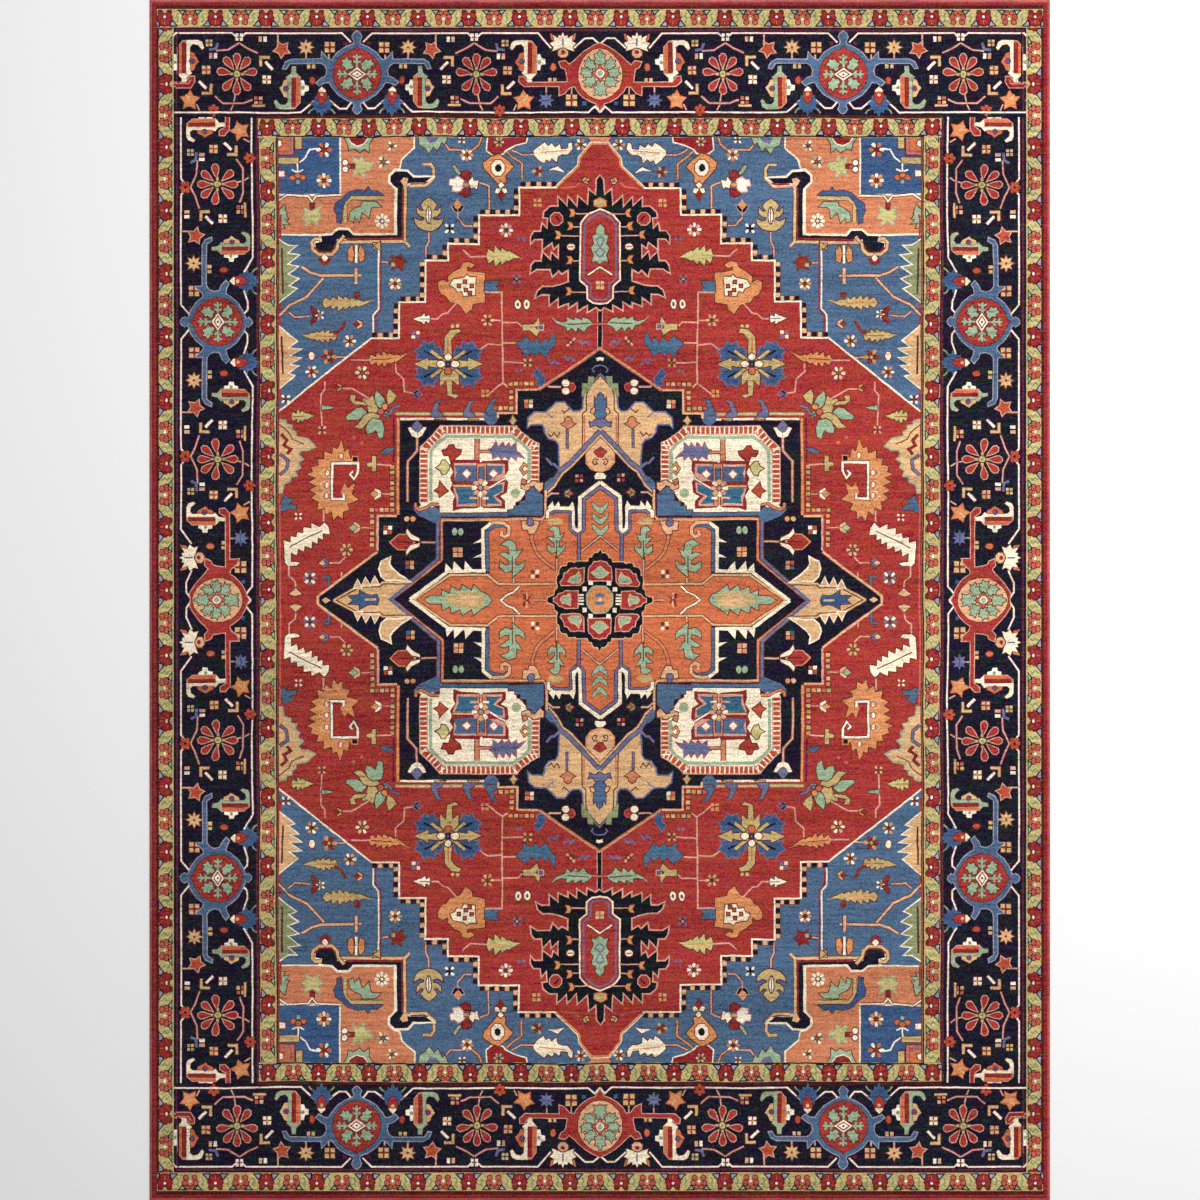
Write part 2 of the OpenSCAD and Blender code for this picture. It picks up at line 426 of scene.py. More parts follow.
wool_pile, shader = surface("wool_pile", Specular_IOR_Level=0.06)
tree = wool_pile.node_tree
dyed = add(tree, "VertexColor", layer_name="wool_colour")
woven = add(tree, "Group", node_tree=abrash)
woven.inputs["Streaks"].default_value = 0.17
tree.links.new(dyed.outputs["Color"], woven.inputs["Wool"])
tree.links.new(woven.outputs["Colour"], shader.inputs["Base Color"])
tree.links.new(woven.outputs["Roughness"], shader.inputs["Roughness"])
tufts = add(tree, "Bump", {"Height": woven.outputs["Height"], "Strength": 0.5,
                           "Distance": 0.0012})
tree.links.new(tufts.outputs[0], shader.inputs["Normal"])

medallion_edge = [(0, 253), (62, 211), (84, 211), (84, 188), (103, 188), (103, 182),
                  (203, 182), (203, 85), (223, 85), (223, 49), (283, 4.5), (283, 0)]
medallion = Drawing([(0, 0), (0, 253)] + medallion_edge[1:], "night")
m = medallion

# The camel arabesque panel at the end, with its bird-headed shoulder
m.patch("camel", [(0, 226), (14, 211), (16, 205), (17, 192), (20, 188), (27, 188),
                  (31, 191), (36, 197), (43, 197), (48, 192), (54, 187), (65, 187),
                  (71, 182), (72, 173), (69, 176), (57, 176), (55, 172), (55, 168),
                  (51, 162), (44, 160), (41, 155), (40, 133), (30, 138), (16, 152),
                  (0, 168)], "heather", 1.6)
m.line("umber", [(0, 225), (12, 212), (14, 205), (14, 190), (18, 186), (18, 152)], 1.2)
m.line("rose", [(16, 185), (16, 154)], 1.2)
m.patch("sky", [(0, 208), (3, 205), (3, 200), (6, 203), (6, 195), (4, 190), (6, 186),
                (4, 182), (2, 178), (0, 178)], "plum")
m.patch("heather", [(0, 180), (4, 181), (8, 177), (11, 178), (10, 173), (5, 175), (0, 172)],
        "plum")
m.line("umber", [(5, 194), (9, 191), (10, 187), (7, 186)], 1.2)
m.line("umber", [(31, 191), (36, 187), (38, 190)], 1.2)
m.line("heather", [(53, 187), (47, 182)], 1.2)
m.line("umber", [(40, 168), (43, 163), (46, 167), (49, 163), (52, 166)], 1.2)
m.line("heather", [(33, 171), (33, 151)], 1.6, "umber")
t = m.at(32, 171, 90)
t.patch("apricot", [(0, 0), (5, 7), (6, 4), (10, 3), (12, 0), (10, -3), (6, -4), (5, -7)],
        "umber")
for x, y in ((6, 224), (12, 217)):
    m.patch("sage", [(x, y), (x + 2, y - 10), (x + 7, y - 14), (x + 6, y)])
m.line("heather", [(0, 235), (5, 234), (8, 231), (6, 228)], 1.4)
m.patch("ivory", [(0, 243), (4, 242), (3, 239), (0, 240)])

# The diagonal double band, and the small peach panel beneath it
m.patch("peach", [(0, 165), (14, 151), (14, 137), (10, 133), (0, 128)], "umber")
m.line("orange", [(14, 151), (14, 137), (9, 131), (0, 128)], 1.6)
m.patch("madder", [(0, 152), (3, 150), (6, 148), (2, 143), (0, 143)], "umber")
m.line("umber", [(2, 140), (6, 141), (8, 138), (6, 135), (3, 136), (5, 139)], 1.1)
band = [(0, 169), (16, 152), (30, 137), (39, 130), (47, 117), (54, 110)]
m.line("heather", band, 4.2, "umber")
m.line("camel", [(x - 1.5, y - 3) for x, y in band], 1.8, "umber")
m.line("peach", [(54, 110), (54, 84), (58, 80)], 2.2, "umber")
m.line("heather", [(41, 131), (46, 136), (49, 136), (54, 142)], 2.4)
m.patch("sky", [(43, 124), (50, 122), (55, 117), (55, 111), (50, 113)])

# Night ground between the panels
four_dots(m, 21, 122, ["madder", "pink"])
tulip(m, 35, 107, 0.9, "sage", "rose", 180, "umber")
m.line("pink", [(41, 107), (48, 107), (53, 103)], 1.8)
m.patch("ivory", [(0, 121), (5, 121), (6, 124), (3, 127), (0, 127)])
m.disc("madder", 29, 213, 3.8, edge="rose")
for y in (209, 217):
    m.disc("ivory", 34.6, y, 3.9, 0.9, edge="umber")
m.line("pink", [(39, 213), (50, 213), (56, 217)], 1.8)
four_dots(m, 71, 196, ["peach", "orange", "rose", "ivory"], 1.9)
m.patch("straw", [(87, 174), (89, 178), (91, 179), (89, 181), (87, 185), (85, 181),
                  (83, 179), (85, 178)], "umber")
m.disc("sky", 109, 182, 6, edge="heather")
m.line("ivory", [(116, 181), (203, 181)], 2.2, "umber")
for x in (129, 162):
    m.patch("camel", [(x - 7, 181), (x, 188), (x + 3, 181)], "umber")
tulip(m, 183, 162, 2.0, "ivory", "heather", 90, "umber")
m.line("pink", [(183, 162), (183, 149), (192, 139), (192, 98)], 1.9, "umber")
for x, wool in ((187, "orange"), (193, "peach")):
    m.disc(wool, x, 81, 2.6)
four_dots(m, 212, 70, ["chalk", "brick"], 1.9)
four_dots(m, 190, 35, ["orange", "brick", "sky", "camel"], 1.9)
m.line("pink", [(163, 58), (181, 58)], 1.5, "umber")
b = m.at(180, 58)
b.patch("madder", [(6, 0), (13, 7), (21, 7), (29, 0), (22, -7), (13, -7)], "orange", 1.2)
b.line("maroon", [(7, 0), (22, 0)], 1.2)
for s in (1, -1):
    b.patch("ivory", [(0, s), (1, 4 * s), (9, 8 * s), (13, 13 * s), (14, 9 * s),
                      (9, 3 * s)], "umber")

# The ivory cartouche in its border of brick blocks
m.patch("ivory", [(62, 112), (62, 157), (70, 158), (72, 164), (78, 164), (83, 168),
                  (83, 174), (160, 174), (161, 168), (167, 164), (172, 160), (173, 154),
                  (179, 153), (179, 94), (185, 92), (183, 88), (176, 90), (160, 95),
                  (160, 87), (93, 87), (92, 91), (85, 91), (84, 98), (80, 99),
                  (75, 106), (71, 112), (66, 117)], "umber")
wall = [(65, 116), (65, 154), (72, 158), (81, 165), (86, 170), (158, 170), (165, 162),
        (171, 156), (176, 151), (176, 97)]
m.line("pink", wall, 8.8)
m.line("brick", wall, 6.4)
for a, b in zip(wall, wall[1:]):
    way = complex(b[0] - a[0], b[1] - a[1])
    steps = max(1, round(abs(way) / 4.9))
    for i in range(steps + 1):
        p = complex(*a) + way * i / steps
        n = 3.6 * way / abs(way) * 1j
        m.line("ivory", [((p - n).real, (p - n).imag), ((p + n).real, (p + n).imag)], 1.4)
m.line("mint", [(71, 120), (71, 149), (78, 157), (88, 163), (154, 163), (162, 157),
                (169, 149), (169, 99)], 3.2)
m.patch("peach", [(57, 117), (61, 117), (66, 119), (71, 116), (78, 115), (78, 112),
                  (72, 110), (66, 115), (61, 108), (57, 111)], "umber")
m.disc("mint", 84, 107, 4, edge="straw")
m.line("orange", [(72, 133), (76, 136), (79, 131), (76, 126), (72, 129)], 1.5, "umber")
m.patch("apricot", [(73, 119), (77, 121), (78, 117), (75, 115)], "umber")
m.line("apricot", [(123, 161), (123, 118)], 4.0, "maroon")
m.patch("heather", [(75, 141), (80, 146), (84, 149), (84, 157), (89, 152), (91, 157), (95, 152),
                    (97, 157), (102, 152), (104, 158), (108, 151), (111, 150), (111, 147),
                    (107, 146), (107, 141), (102, 144), (98, 140), (96, 144), (91, 140),
                    (89, 144), (84, 140), (83, 144)], "brick", 0.8)
m.line("denim", [(84, 148), (109, 148)], 1.0)
m.line("apricot", [(110, 148), (121, 148)], 2.0, "maroon")
m.patch("madder", [(139, 149), (145, 150), (147, 154), (151, 154), (153, 150), (158, 149),
                   (156, 144), (151, 144), (149, 138), (145, 141), (140, 145)], "maroon")
m.patch("citron", [(151, 134), (155, 139), (158, 139), (160, 134), (164, 132), (159, 129),
                   (158, 125), (154, 126), (151, 131)], "umber")
m.patch("brick", [(152, 109), (157, 114), (160, 118), (161, 112), (165, 109), (161, 107),
                  (160, 103), (156, 106)], "umber")

# The quartered blue box inside the cartouche
box = [(92, 139), (117, 138), (119, 136), (121, 139), (147, 139), (150, 134), (146, 128),
       (149, 122), (147, 116), (149, 111), (144, 104), (146, 99), (146, 90), (139, 92),
       (122, 93), (119, 95), (116, 93), (95, 92), (95, 99), (100, 104), (93, 108),
       (92, 118), (96, 122), (92, 130)]
m.patch("crimson", box, "maroon", 0.6)
m.patch("pink", [(95, 136), (146, 136), (145, 119), (94, 119)])
m.patch("sky", [(97, 134), (146, 134), (143, 127), (146, 119), (112, 118), (97, 127)])
m.patch("pink", [(95, 118), (112, 112), (147, 114), (143, 100), (143, 94), (98, 94),
                 (98, 99), (104, 104), (96, 108)])
m.patch("teal", [(97, 116), (112, 112), (145, 112), (141, 103), (142, 96), (121, 97),
                 (99, 96), (107, 104), (97, 109)])
m.line("ivory", [(95, 121), (112, 111)], 1.6, "crimson")
m.line("camel", [(126, 114), (147, 114)], 1.8, "umber")
m.line("apricot", [(118, 136), (118, 95)], 9, "maroon")
m.line("sky", [(118, 133), (118, 120)], 4.5, "maroon")
m.line("pink", [(119, 110), (119, 94)], 1.6, "maroon")
rosette(m, 119, 112, 9, ["ivory", "pink", "camel"], "mint", 8, "crimson")
m.line("chalk", [(111, 102), (117, 102)], 2.2)
m.line("peach", [(121, 102), (130, 102)], 2.0)
for x in (106, 133):
    m.patch("chalk", [(x - 4, 126), (x, 130), (x + 4, 126), (x, 122)], "rose")

# Blue ground and bands under the cartouche
m.patch("sky", [(57, 84), (57, 105), (61, 108), (65, 112), (69, 113), (70, 109), (74, 108),
                (74, 99), (80, 99), (80, 94), (85.5, 94), (85.5, 90), (92, 90), (92, 85)],
        "maroon", 0.8)
m.line("sky", [(92, 85.5), (160, 85.5)], 3.4, "maroon")
m.patch("sky", [(160, 78), (160, 86), (163, 91), (170, 92), (176, 88), (182, 89),
                (185, 90), (180, 85), (171, 81), (164, 78)], "heather")
m.line("apricot", [(161, 95), (168, 96), (174, 92), (180, 90), (184, 93), (184, 97)], 2.2,
       "umber")

# The rust panel round the heart
rust = [(0, 112), (14, 101), (14, 72), (19, 65), (26, 65), (31, 72), (31, 86),
        (35, 88), (46, 88), (50, 85), (53, 81), (58, 79), (110, 79), (111, 74),
        (111, 26), (118, 26), (152, 26), (186, 0), (0, 0)]
m.patch("rust", rust)
m.line("apricot", [(58, 81), (158, 81), (158, 40), (208, 0)], 2.2, "maroon")
m.line("camel", [(58, 80), (158, 80)], 1.4)
m.line("heather", [(162, 78), (162, 41), (196, 12), (214, 0)], 2.8, "umber")
m.line("heather", [(0, 113), (16, 101), (16, 71), (21, 66), (24, 66), (29, 71), (29, 87),
                   (33, 89), (45, 89), (49, 86)], 2.6, "umber")
m.line("ivory", [(0, 118), (20, 103), (20, 71), (22, 69), (26, 72), (26, 90), (30, 92),
                 (47, 92), (52, 88), (52, 82)], 3.4, "umber")
m.patch("night", [(22, 103), (22, 76), (24, 74), (25, 76), (25, 103)])
for x in (27, 41, 47):
    m.patch("ivory", [(x - 2, 92), (x, 99), (x + 5, 92)])
m.line("heather", [(21, 66), (21, 38)], 2.6, "maroon")
m.line("pink", [(0, 64), (18, 49)], 1.5, "umber")
m.line("sky", [(113, 28), (113, 69), (107, 74), (96, 75), (92, 72)], 2.8, "umber")
m.line("peach", [(108, 77.4), (96, 77), (91, 73), (91, 66), (95, 63), (99, 65), (98, 69)], 3.0,
       "umber")
m.line("ivory", [(117, 29), (117, 71), (109, 77)], 3.2, "umber")
m.line("camel", [(42, 16), (102, 16), (113, 25), (150, 25), (186, 0)], 2.0, "umber")
m.line("ivory", [(115, 29), (152, 28.5), (190, 0)], 3.2)
for x, y in ((134, 31), (145, 31), (153, 29)):
    m.patch("ivory", [(x - 7, y - 1), (x + 1, y + 8), (x + 2, y - 1)])
for y in (57, 42):
    m.patch("ivory", [(118, y + 5), (127, y), (118, y + 1)])
for x in (139, 145):
    m.disc("mint", x, 69, 2.8, 1.4)
four_dots(m, 142, 48, ["peach", "orange"], 2.2, 2.6)
m.line("ivory", [(81, 14), (87, 8), (94, 5), (100, 0)], 1.8, "umber")
m.line("apricot", [(44, 30), (58, 41), (64, 48), (68, 60), (68, 66)], 2.6, "umber")
m.line("pink", [(43, 44), (43, 27)], 1.6, "umber")
m.line("peach", [(87, 22), (87, 16)], 1.6, "umber")
m.patch("peach", [(66, 66), (71, 66), (72, 70), (77, 70), (78, 78), (72, 79), (69, 75),
                  (65, 79), (60, 78), (63, 70)], "umber")
m.patch("heather", [(66, 76), (68, 82), (71, 82), (73, 77), (71, 74), (68, 74)], "umber")
m.patch("straw", [(37, 78), (42, 82), (52, 80), (50, 76), (41, 76)], "orange")
four_dots(m, 65, 26, ["chalk", "umber"], 1.7)
sprig = [(0, -6), (0, 0), (5, -2), (9, 2), (9, 7), (5, 4), (2, 4), (2, 8), (9, 14),
         (5, 15), (2, 13), (3, 20), (8, 22), (3, 26), (-2, 24), (-3, 16), (-7, 18),
         (-4, 12), (-2, 10), (-2, 4), (-5, 4), (-9, 8), (-8, 2), (-4, -2)]
m.at(43, 48).patch("mint", sprig, "umber")
m.at(88, 30).patch("mint", [(x * 1.4, y * 1.15) for x, y in sprig], "umber")
for x, y in ((43, 50), (88, 34)):
    m.line("umber", [(x, y - 8), (x, y + 10)], 1.1)
for y in (92, 81, 70):
    m.patch("mint", [(0, y), (8, y + 6), (7, y + 1), (2, y - 5), (0, y - 5)], "umber", 0.7)
leaf_top = [(109, 0), (111, 4), (120, 9), (127, 15), (129, 9), (138, 15), (140, 9),
            (149, 13), (150, 6), (158, 10), (158, 4), (170, 4), (176, 0)]
m.patch("mint", leaf_top, "umber")
m.patch("straw", [(115, 0), (118, 6), (126, 9), (140, 8), (151, 5), (157, 0)])
m.patch("camel", [(120, 0), (126, 6), (140, 5), (148, 0)])
m.line("pink", [(53, 0), (66, 0)], 1.4, "umber")
for x, y in ((70, 3.4), (77, 2.6), (77, 6.4)):
    m.line("crimson", [(73, 0), (x, y)], 2.0)
m.line("camel", [(73.4, 1), (73.4, 7.6)], 1.5)

# The camel end panel at the medallion's side point
m.patch("camel", [(192, 15), (216, 15), (220, 12), (240, 12), (262, 0), (208, 0)], "umber")
m.line("camel", [(190, 17), (217, 17), (221, 14), (241, 14), (266, 0)], 1.8, "umber")
m.patch("heather", [(190, 15), (194, 15), (212, 0), (206, 0)])
m.patch("denim", [(221, 0), (223, 5), (228, 4), (233, 5), (240, 9), (240, 4.6), (251, 4),
                  (246, 0)], "umber")
m.line("peach", [(224, 0), (235, 0)], 2.2)
m.patch("camel", [(190, 18), (200, 24), (208, 31), (211, 36), (210, 42), (218, 38), (220, 31),
                  (218, 24), (213, 19.6), (203, 20)], "ivory", 1.6)
for x, y in ((226, 15), (235, 14), (243, 12)):
    m.patch("peach", [(x - 5, y), (x - 1, y + 7.6), (x + 2.4, y)], "ivory")
m.patch("peach", [(269, 0), (274, 3), (278, 0)])

# The heart: four ragged petals in a black toothed ring
heart = [(0, 51), (2, 47), (5, 47), (7, 45), (8, 42), (11, 42), (12, 38), (24, 38), (25, 36.5),
         (28, 37.5), (32, 37), (33, 33.5), (38, 33), (40, 30), (40.5, 25), (42.5, 24),
         (43, 19), (42, 12), (45, 9.5), (45.5, 5), (48, 3.6), (52, 2.5), (53, 0), (0, 0)]
m.patch("jet", heart, "camel")
m.patch("madder", [(0, 39), (2, 38), (6, 37.5), (8, 34), (10, 33), (11, 30), (11, 19), (0, 19)],
        "pink")
m.patch("mint", [(0, 33), (2, 32), (4, 29.5), (8, 27), (5, 24.5), (3, 22.5), (0, 22)], "peach")
m.patch("madder", [(16, 31), (22, 30), (24, 31), (29, 30.5), (31, 28), (32, 26.5), (35, 26),
                   (36, 21), (39, 17), (38, 14.5), (20, 14.5), (16.5, 18)], "pink")
m.patch("mint", [(20, 24), (21, 27), (23, 24), (26, 23), (29, 22), (31, 18), (28, 16.8),
                 (20, 16.8), (19, 20)], "peach")
m.patch("madder", [(22, 8), (34, 8.6), (37, 6.5), (41, 5.5), (43, 2.5), (46, 1.5), (46, 0),
                   (22, 0)], "pink")
m.patch("mint", [(30, 5), (32, 4), (34, 3), (37, 3), (39, 0), (29, 0)], "peach")
m.disc("ivory", 9, 16.4, 3, sides=4)
m.disc("ivory", 15, 10.4, 3, sides=4)
m.patch("orange", [(0, 13), (5, 12.6), (8, 10.4), (12, 5), (12.6, 0), (0, 0)], "mint", 1.4)
m.patch("heather", [(0, 6), (5, 5), (4, 2), (0, 2.6)])
m.disc("ivory", 0, 0, 1.6)
for y in (1.4, 4.6):
    m.line("ivory", [(16, y), (21, y)], 1.8)

m.line("apricot", medallion_edge[:2], 5, "umber")
m.line("pink", medallion_edge[:2], 1.6)
m.line("peach", medallion_edge[1:6], 4.0)
m.line("orange", medallion_edge[6:8], 5, "umber")
m.line("camel", medallion_edge[7:9], 4.4)
m.line("pink", medallion_edge[8:10], 4.4)
m.line("peach", medallion_edge[9:12], 4.6, "umber")

sheared(knotted(medallion), "medallion_pile_knots", ["medallion_pile"])

# ---- The field's pile ----------------------------------------------------------------
# The madder ground round the medallion, knotted with it row by row: a night pendant
# stands at each end, and loose sprays of flowers fill the rest.

# Half the field, as far as the inner guard
FIELD_X, FIELD_Y = 320.73, 462.3
corner_steps = [(FIELD_X, 188), (228, 261), (200, 261), (200, 297), (174, 297), (174, 338),
                (151, 338), (151, 355), (120, 355), (120, 384), (80, 384), (80, 411),
                (43, 411), (20, 433), (19, 441), (8, 455), (0, 455)]
field = Drawing(medallion_edge[::-1] + [(0, 455)] + corner_steps[::-1] + [(FIELD_X, 0)],
                "madder")
f = field

# Blocks along the medallion's steps
for places in ([(68 + 5.3 * i, 216) for i in range(5)], [(88.5, 208 - 5.5 * i) for i in range(4)],
               [(94, 192), (99.5, 192), (105, 192)], [(207.5, 90 + 5.4 * i) for i in range(9)],
               [(213 + 5 * i, 90) for i in range(4)], [(227.5, 84 - 5.8 * i) for i in range(6)]):
    for i, (x, y) in enumerate(places):
        f.patch(("orange", "peach", "rose", "straw")[i % 4],
                [(x - 2, y - 1.8), (x + 2, y - 1.8), (x + 2, y + 1.8), (x - 2, y + 1.8)],
                "umber", 0.8)
f.line("plum", [(206, 182), (206, 138)], 1.8)
f.line("camel", [(104, 186), (204, 186)], 1.6, "sage")
f.patch("sky", [(102, 182), (102, 187), (109, 189), (115, 187), (118, 182)], "heather")
for x, y, wool in ((107, 188, "sky"), (130, 186, "heather"), (162, 186, "heather")):
    f.patch(wool, [(x - 5, y - 3), (x + 6, y - 3), (x + 7, y + 2), (x + 1, y + 13),
                   (x - 5, y + 14), (x - 1, y + 11), (x + 1, y + 3), (x - 4, y)], "umber")

f.line("jet", [(0, 250), (0, 292)], 4, "pink")

# The pendant: a ragged night palmette round a madder cartouche
f.patch("jet", [(0, 290), (4, 293), (12, 289), (12, 296), (22, 290), (22, 299), (31, 293),
                (31, 298), (41, 294), (41, 303), (50, 296), (50, 306), (58, 306),
                (64, 303), (62, 309), (57, 313), (47, 313), (40, 315), (31, 318),
                (31, 331), (38, 327), (41, 330), (47, 324), (49, 331), (63, 331),
                (69, 327), (68, 334), (65, 338), (58, 338), (57, 347), (49, 339),
                (48, 347), (41, 340), (41, 356), (46, 352), (48, 358), (57, 351),
                (57, 361), (66, 361), (69, 357), (69, 363), (66, 368), (59, 368),
                (58, 376), (53, 370), (52, 382), (57, 383), (56, 388), (50, 393),
                (42, 393), (42, 402), (33, 393), (32, 402), (23, 392), (22, 403),
                (12, 394), (11, 410), (4, 404), (3, 420), (0, 424)], "pink", 1.5)
f.patch("madder", [(0, 297), (7, 298), (12, 302), (12, 314), (19, 320), (19, 377),
                   (12, 385), (0, 390)], "ivory", 1.6)
f.line("heather", [(0, 300), (6, 301), (9, 304), (9, 316), (16, 322), (16, 375),
                   (10, 382), (0, 387)], 1.6)
f.patch("mint", [(0, 336), (4, 339), (8, 338), (6, 345), (9, 352), (6, 356), (8, 364),
                 (4, 366), (4, 372), (0, 376)], "umber")
f.line("heather", [(0, 342), (5, 348), (0, 352), (4, 360), (0, 364)], 1.3)
f.line("ivory", [(0, 333), (12, 325)], 1.5, "umber")
four_dots(f, 0, 315, ["camel", "peach"], 1.8, 2.2)
f.patch("straw", [(0, 393), (6, 394), (6, 399), (0, 402)], "brick")
f.disc("madder", 44, 381, 6.2, edge="pink")
f.line("jet", [(41, 379), (45, 384)], 1.5)
for x, y, a in ((28, 387, 9), (42, 365, 21), (31, 309, 14), (30, 374, 21), (30, 340, 21)):
    f.line("pink", [(a, y - 1), (x - 3, y - 1)], 1.2)
    f.patch("orange", [(x - 3, y), (x - 1, y + 3.5), (x + 3, y + 4), (x + 1, y),
                       (x + 3, y - 4), (x - 1, y - 3.5)], "umber", 0.7)
f.disc("ivory", 29, 353, 4, 0.8, edge="umber")
f.line("madder", [(26, 353), (32, 353)], 1.2)

# Between the pendant and the corners
rosette(f, 94, 370, 7, ["chalk", "pink"], "crimson", 8, "umber")
f.dots("heather", [(76, 361), (81, 361)], 1.8)
leaf(f, "citron", 113, 344, 33, 20, 180, 4, "umber", "orange", 3)
f.line("pink", [(111, 344), (129, 343), (137, 350)], 1.5)
rosette(f, 83, 321, 5.5, ["heather"], "camel", 4, "umber", 45)
for x in (73, 82):
    f.disc("ivory", x, 296, 3.2, 1.5, edge="umber")
    f.disc("crimson", x, 296, 1.3, 1.5)
f.patch("orange", [(115, 327), (115, 298), (127, 296), (128, 291), (134, 286), (137, 291),
                   (140, 295), (145, 297), (150, 298), (154, 304), (158, 305), (162, 312),
                   (162, 318), (157, 320), (152, 317), (152, 323), (146, 328), (139, 332),
                   (137, 337), (131, 338), (125, 335), (128, 332), (133, 333), (133, 329),
                   (126, 328)], "umber")
f.patch("ivory", [(124, 323), (131, 323), (133, 325), (136, 322), (147, 320), (150, 314),
                  (145, 312), (143, 308), (138, 309), (136, 304), (125, 305)], "umber")
for x, y in ((128, 314), (135, 318), (141, 314), (134, 310), (130, 307)):
    f.disc("brick", x, y, 1.9, sides=4, edge="umber")
f.patch("sky", [(101, 319), (115, 319), (115, 308), (100, 308), (104, 313)], "umber")
f.line("pink", [(115, 308), (98, 308), (97, 217), (92, 213)], 1.6)
f.line("pink", [(97, 217), (103, 213), (111, 206)], 1.5)
f.line("pink", [(143, 297), (152, 287), (157, 286), (162, 281), (170, 281)], 1.5)
leaf(f, "ivory", 170, 281, 17, 11, 0, 3, "umber", "heather")
four_dots(f, 115, 207, ["orange"], 1.6, 2.2, "umber")
rosette(f, 112, 280, 6.5, ["orange", "peach"], "umber", 6, "umber")
f.line("pink", [(99, 280), (106, 280)], 1.4)
f.dots("citron", [(142, 274), (147, 274)], 1.9)
four_dots(f, 184, 265, ["ivory", "heather"], 1.7)
mint_leaf = [(7, 276), (12, 281), (17, 283), (18, 280), (25, 283), (26, 280), (33, 283),
             (33, 279), (38, 278), (44, 280), (49, 284), (43, 277), (35, 274), (32, 269),
             (29, 273), (24, 268), (22, 273), (16, 268), (13, 273)]
f.patch("mint", mint_leaf, "umber")
f.line("umber", [(10, 277), (32, 276)], 1.1)
f.line("rose", [(0, 276), (8, 276)], 1.6, "umber")
f.patch("straw", [(61, 283), (66, 276), (77, 276), (77, 270), (70, 270), (63, 264),
                  (61, 269), (65, 273), (60, 276)], "umber")
f.disc("sky", 59, 273, 3, sides=4, edge="pink")
f.line("pink", [(78, 274), (82, 278), (98, 278)], 1.4)
f.patch("sky", [(46, 268), (44, 257), (50, 250), (54, 243), (60, 248), (65, 243),
                (67, 248), (77, 243), (76, 248), (84, 256), (77, 261), (74, 264),
                (68, 257), (63, 262), (60, 256), (54, 262), (52, 256)], "umber")
f.patch("teal", [(50, 252), (55, 246), (60, 250), (66, 247), (76, 251), (66, 253), (58, 254)])
f.line("pink", [(84, 257), (97, 257)], 1.5)
f.line("pink", [(97, 255), (112, 256), (124, 247)], 1.5)
rosette(f, 29, 258, 6, ["crimson", "pink"], "camel", 4, "umber", 45)
f.patch("denim", [(57, 213), (63, 216), (61, 221), (66, 225), (62, 231), (59, 226),
                  (55, 222)], "heather")
for x, y in ((30, 241), (46, 237), (15, 257)):
    f.line("heather", [(x - 5, y - 2), (x - 1, y + 2), (x + 2, y - 1), (x + 6, y + 3)], 2.0)
rosette(f, 72, 237, 5.5, ["straw"], "brick", 4, "umber", 45)
f.line("pink", [(76, 237), (97, 238)], 1.5)
f.dots("heather", [(79, 229), (83, 229)], 1.6)

# The great star flower
s = f.at(151.5, 236)
for x, y in ((1, 1), (-1, 1), (1, -1), (-1, -1)):
    lobe = [(4, 4), (9, 17), (13, 15), (15, 22), (20, 19), (24, 22), (27, 16), (33, 13),
            (29, 9), (31, 5), (22, 5), (14, 2)]
    s.patch("denim", [(x * px, y * py) for px, py in lobe], "heather", 1.1)
    s.line("night", [(x * 9, y * 6), (x * 24, y * 13)], 2.0)
    s.line("straw", [(x * 4, y * 3), (x * 17, y * 13)], 3.0, "umber")
s.patch("straw", [(-4, 6), (-3, 24), (-8, 30), (-13, 32), (-11, 35), (-3, 34), (3, 27),
                  (4, 6)], "umber")
s.patch("straw", [(-5, -6), (-10, -11), (-10, -21), (-4, -16), (-3, -30), (-10, -31),
                  (-7, -34), (1, -31), (2, -16), (8, -22), (8, -11), (5, -6)], "umber")
s.line("rust", [(0, 9), (0, 25)], 1.6)
for side in (1, -1):
    s.patch("straw", [(6 * side, -4), (20 * side, -2), (20 * side, -6), (34 * side, 0),
                      (20 * side, 6), (20 * side, 3), (6 * side, 4)], "umber")
    s.disc("ivory", 7 * side, 0, 4.2, 0.8, edge="umber")
s.disc("ivory", 0, 7, 3.4, edge="umber")
s.disc("rust", 0, -7, 3.4, edge="umber")
s.disc("night", 0, 0, 3.6, sides=4)
s.disc("sky", 0, 0, 1.6, sides=4)

# Sprays down the side of the field
leaf(f, "orange", 231, 240, 38, 15, 176, 5, "umber", "crimson", -5)
f.line("pink", [(229, 240), (249, 240)], 1.6)
f.line("pink", [(204, 237), (204, 228), (196, 221), (195, 208), (184, 206)], 1.5)
tulip(f, 186, 206, 0.9, "night", "madder", 180, "heather")
rosette(f, 238, 227, 7, ["ivory", "camel"], "brick", 6, "umber")
for wool, petal in (
        ("straw", [(203, 204), (211, 211), (213, 204), (212, 195), (206, 199)]),
        ("mint", [(214, 196), (217, 203), (224, 209), (225, 202), (224, 195), (219, 191)]),
        ("straw", [(221, 190), (224, 194), (227, 204), (232, 200), (237, 201), (238, 197),
                   (233, 193), (231, 187), (224, 187)]),
        ("mint", [(233, 187), (238, 192), (244, 191), (248, 187), (254, 183), (253, 180),
                  (242, 180), (237, 183)]),
        ("straw", [(220, 184), (228, 187), (236, 184), (241, 176), (246, 172), (238, 171),
                   (231, 178), (222, 181)]),
        ("mint", [(218, 179), (226, 181), (231, 178), (234, 171), (233, 166), (228, 167),
                  (224, 170), (221, 161), (217, 163), (216, 171)]),
        ("straw", [(233, 194), (245, 195), (250, 199), (249, 204), (244, 204), (246, 199),
                   (236, 197)]),
        ("straw", [(210, 187), (214, 188), (216, 184), (212, 182)])):
    f.patch(wool, petal, "umber")
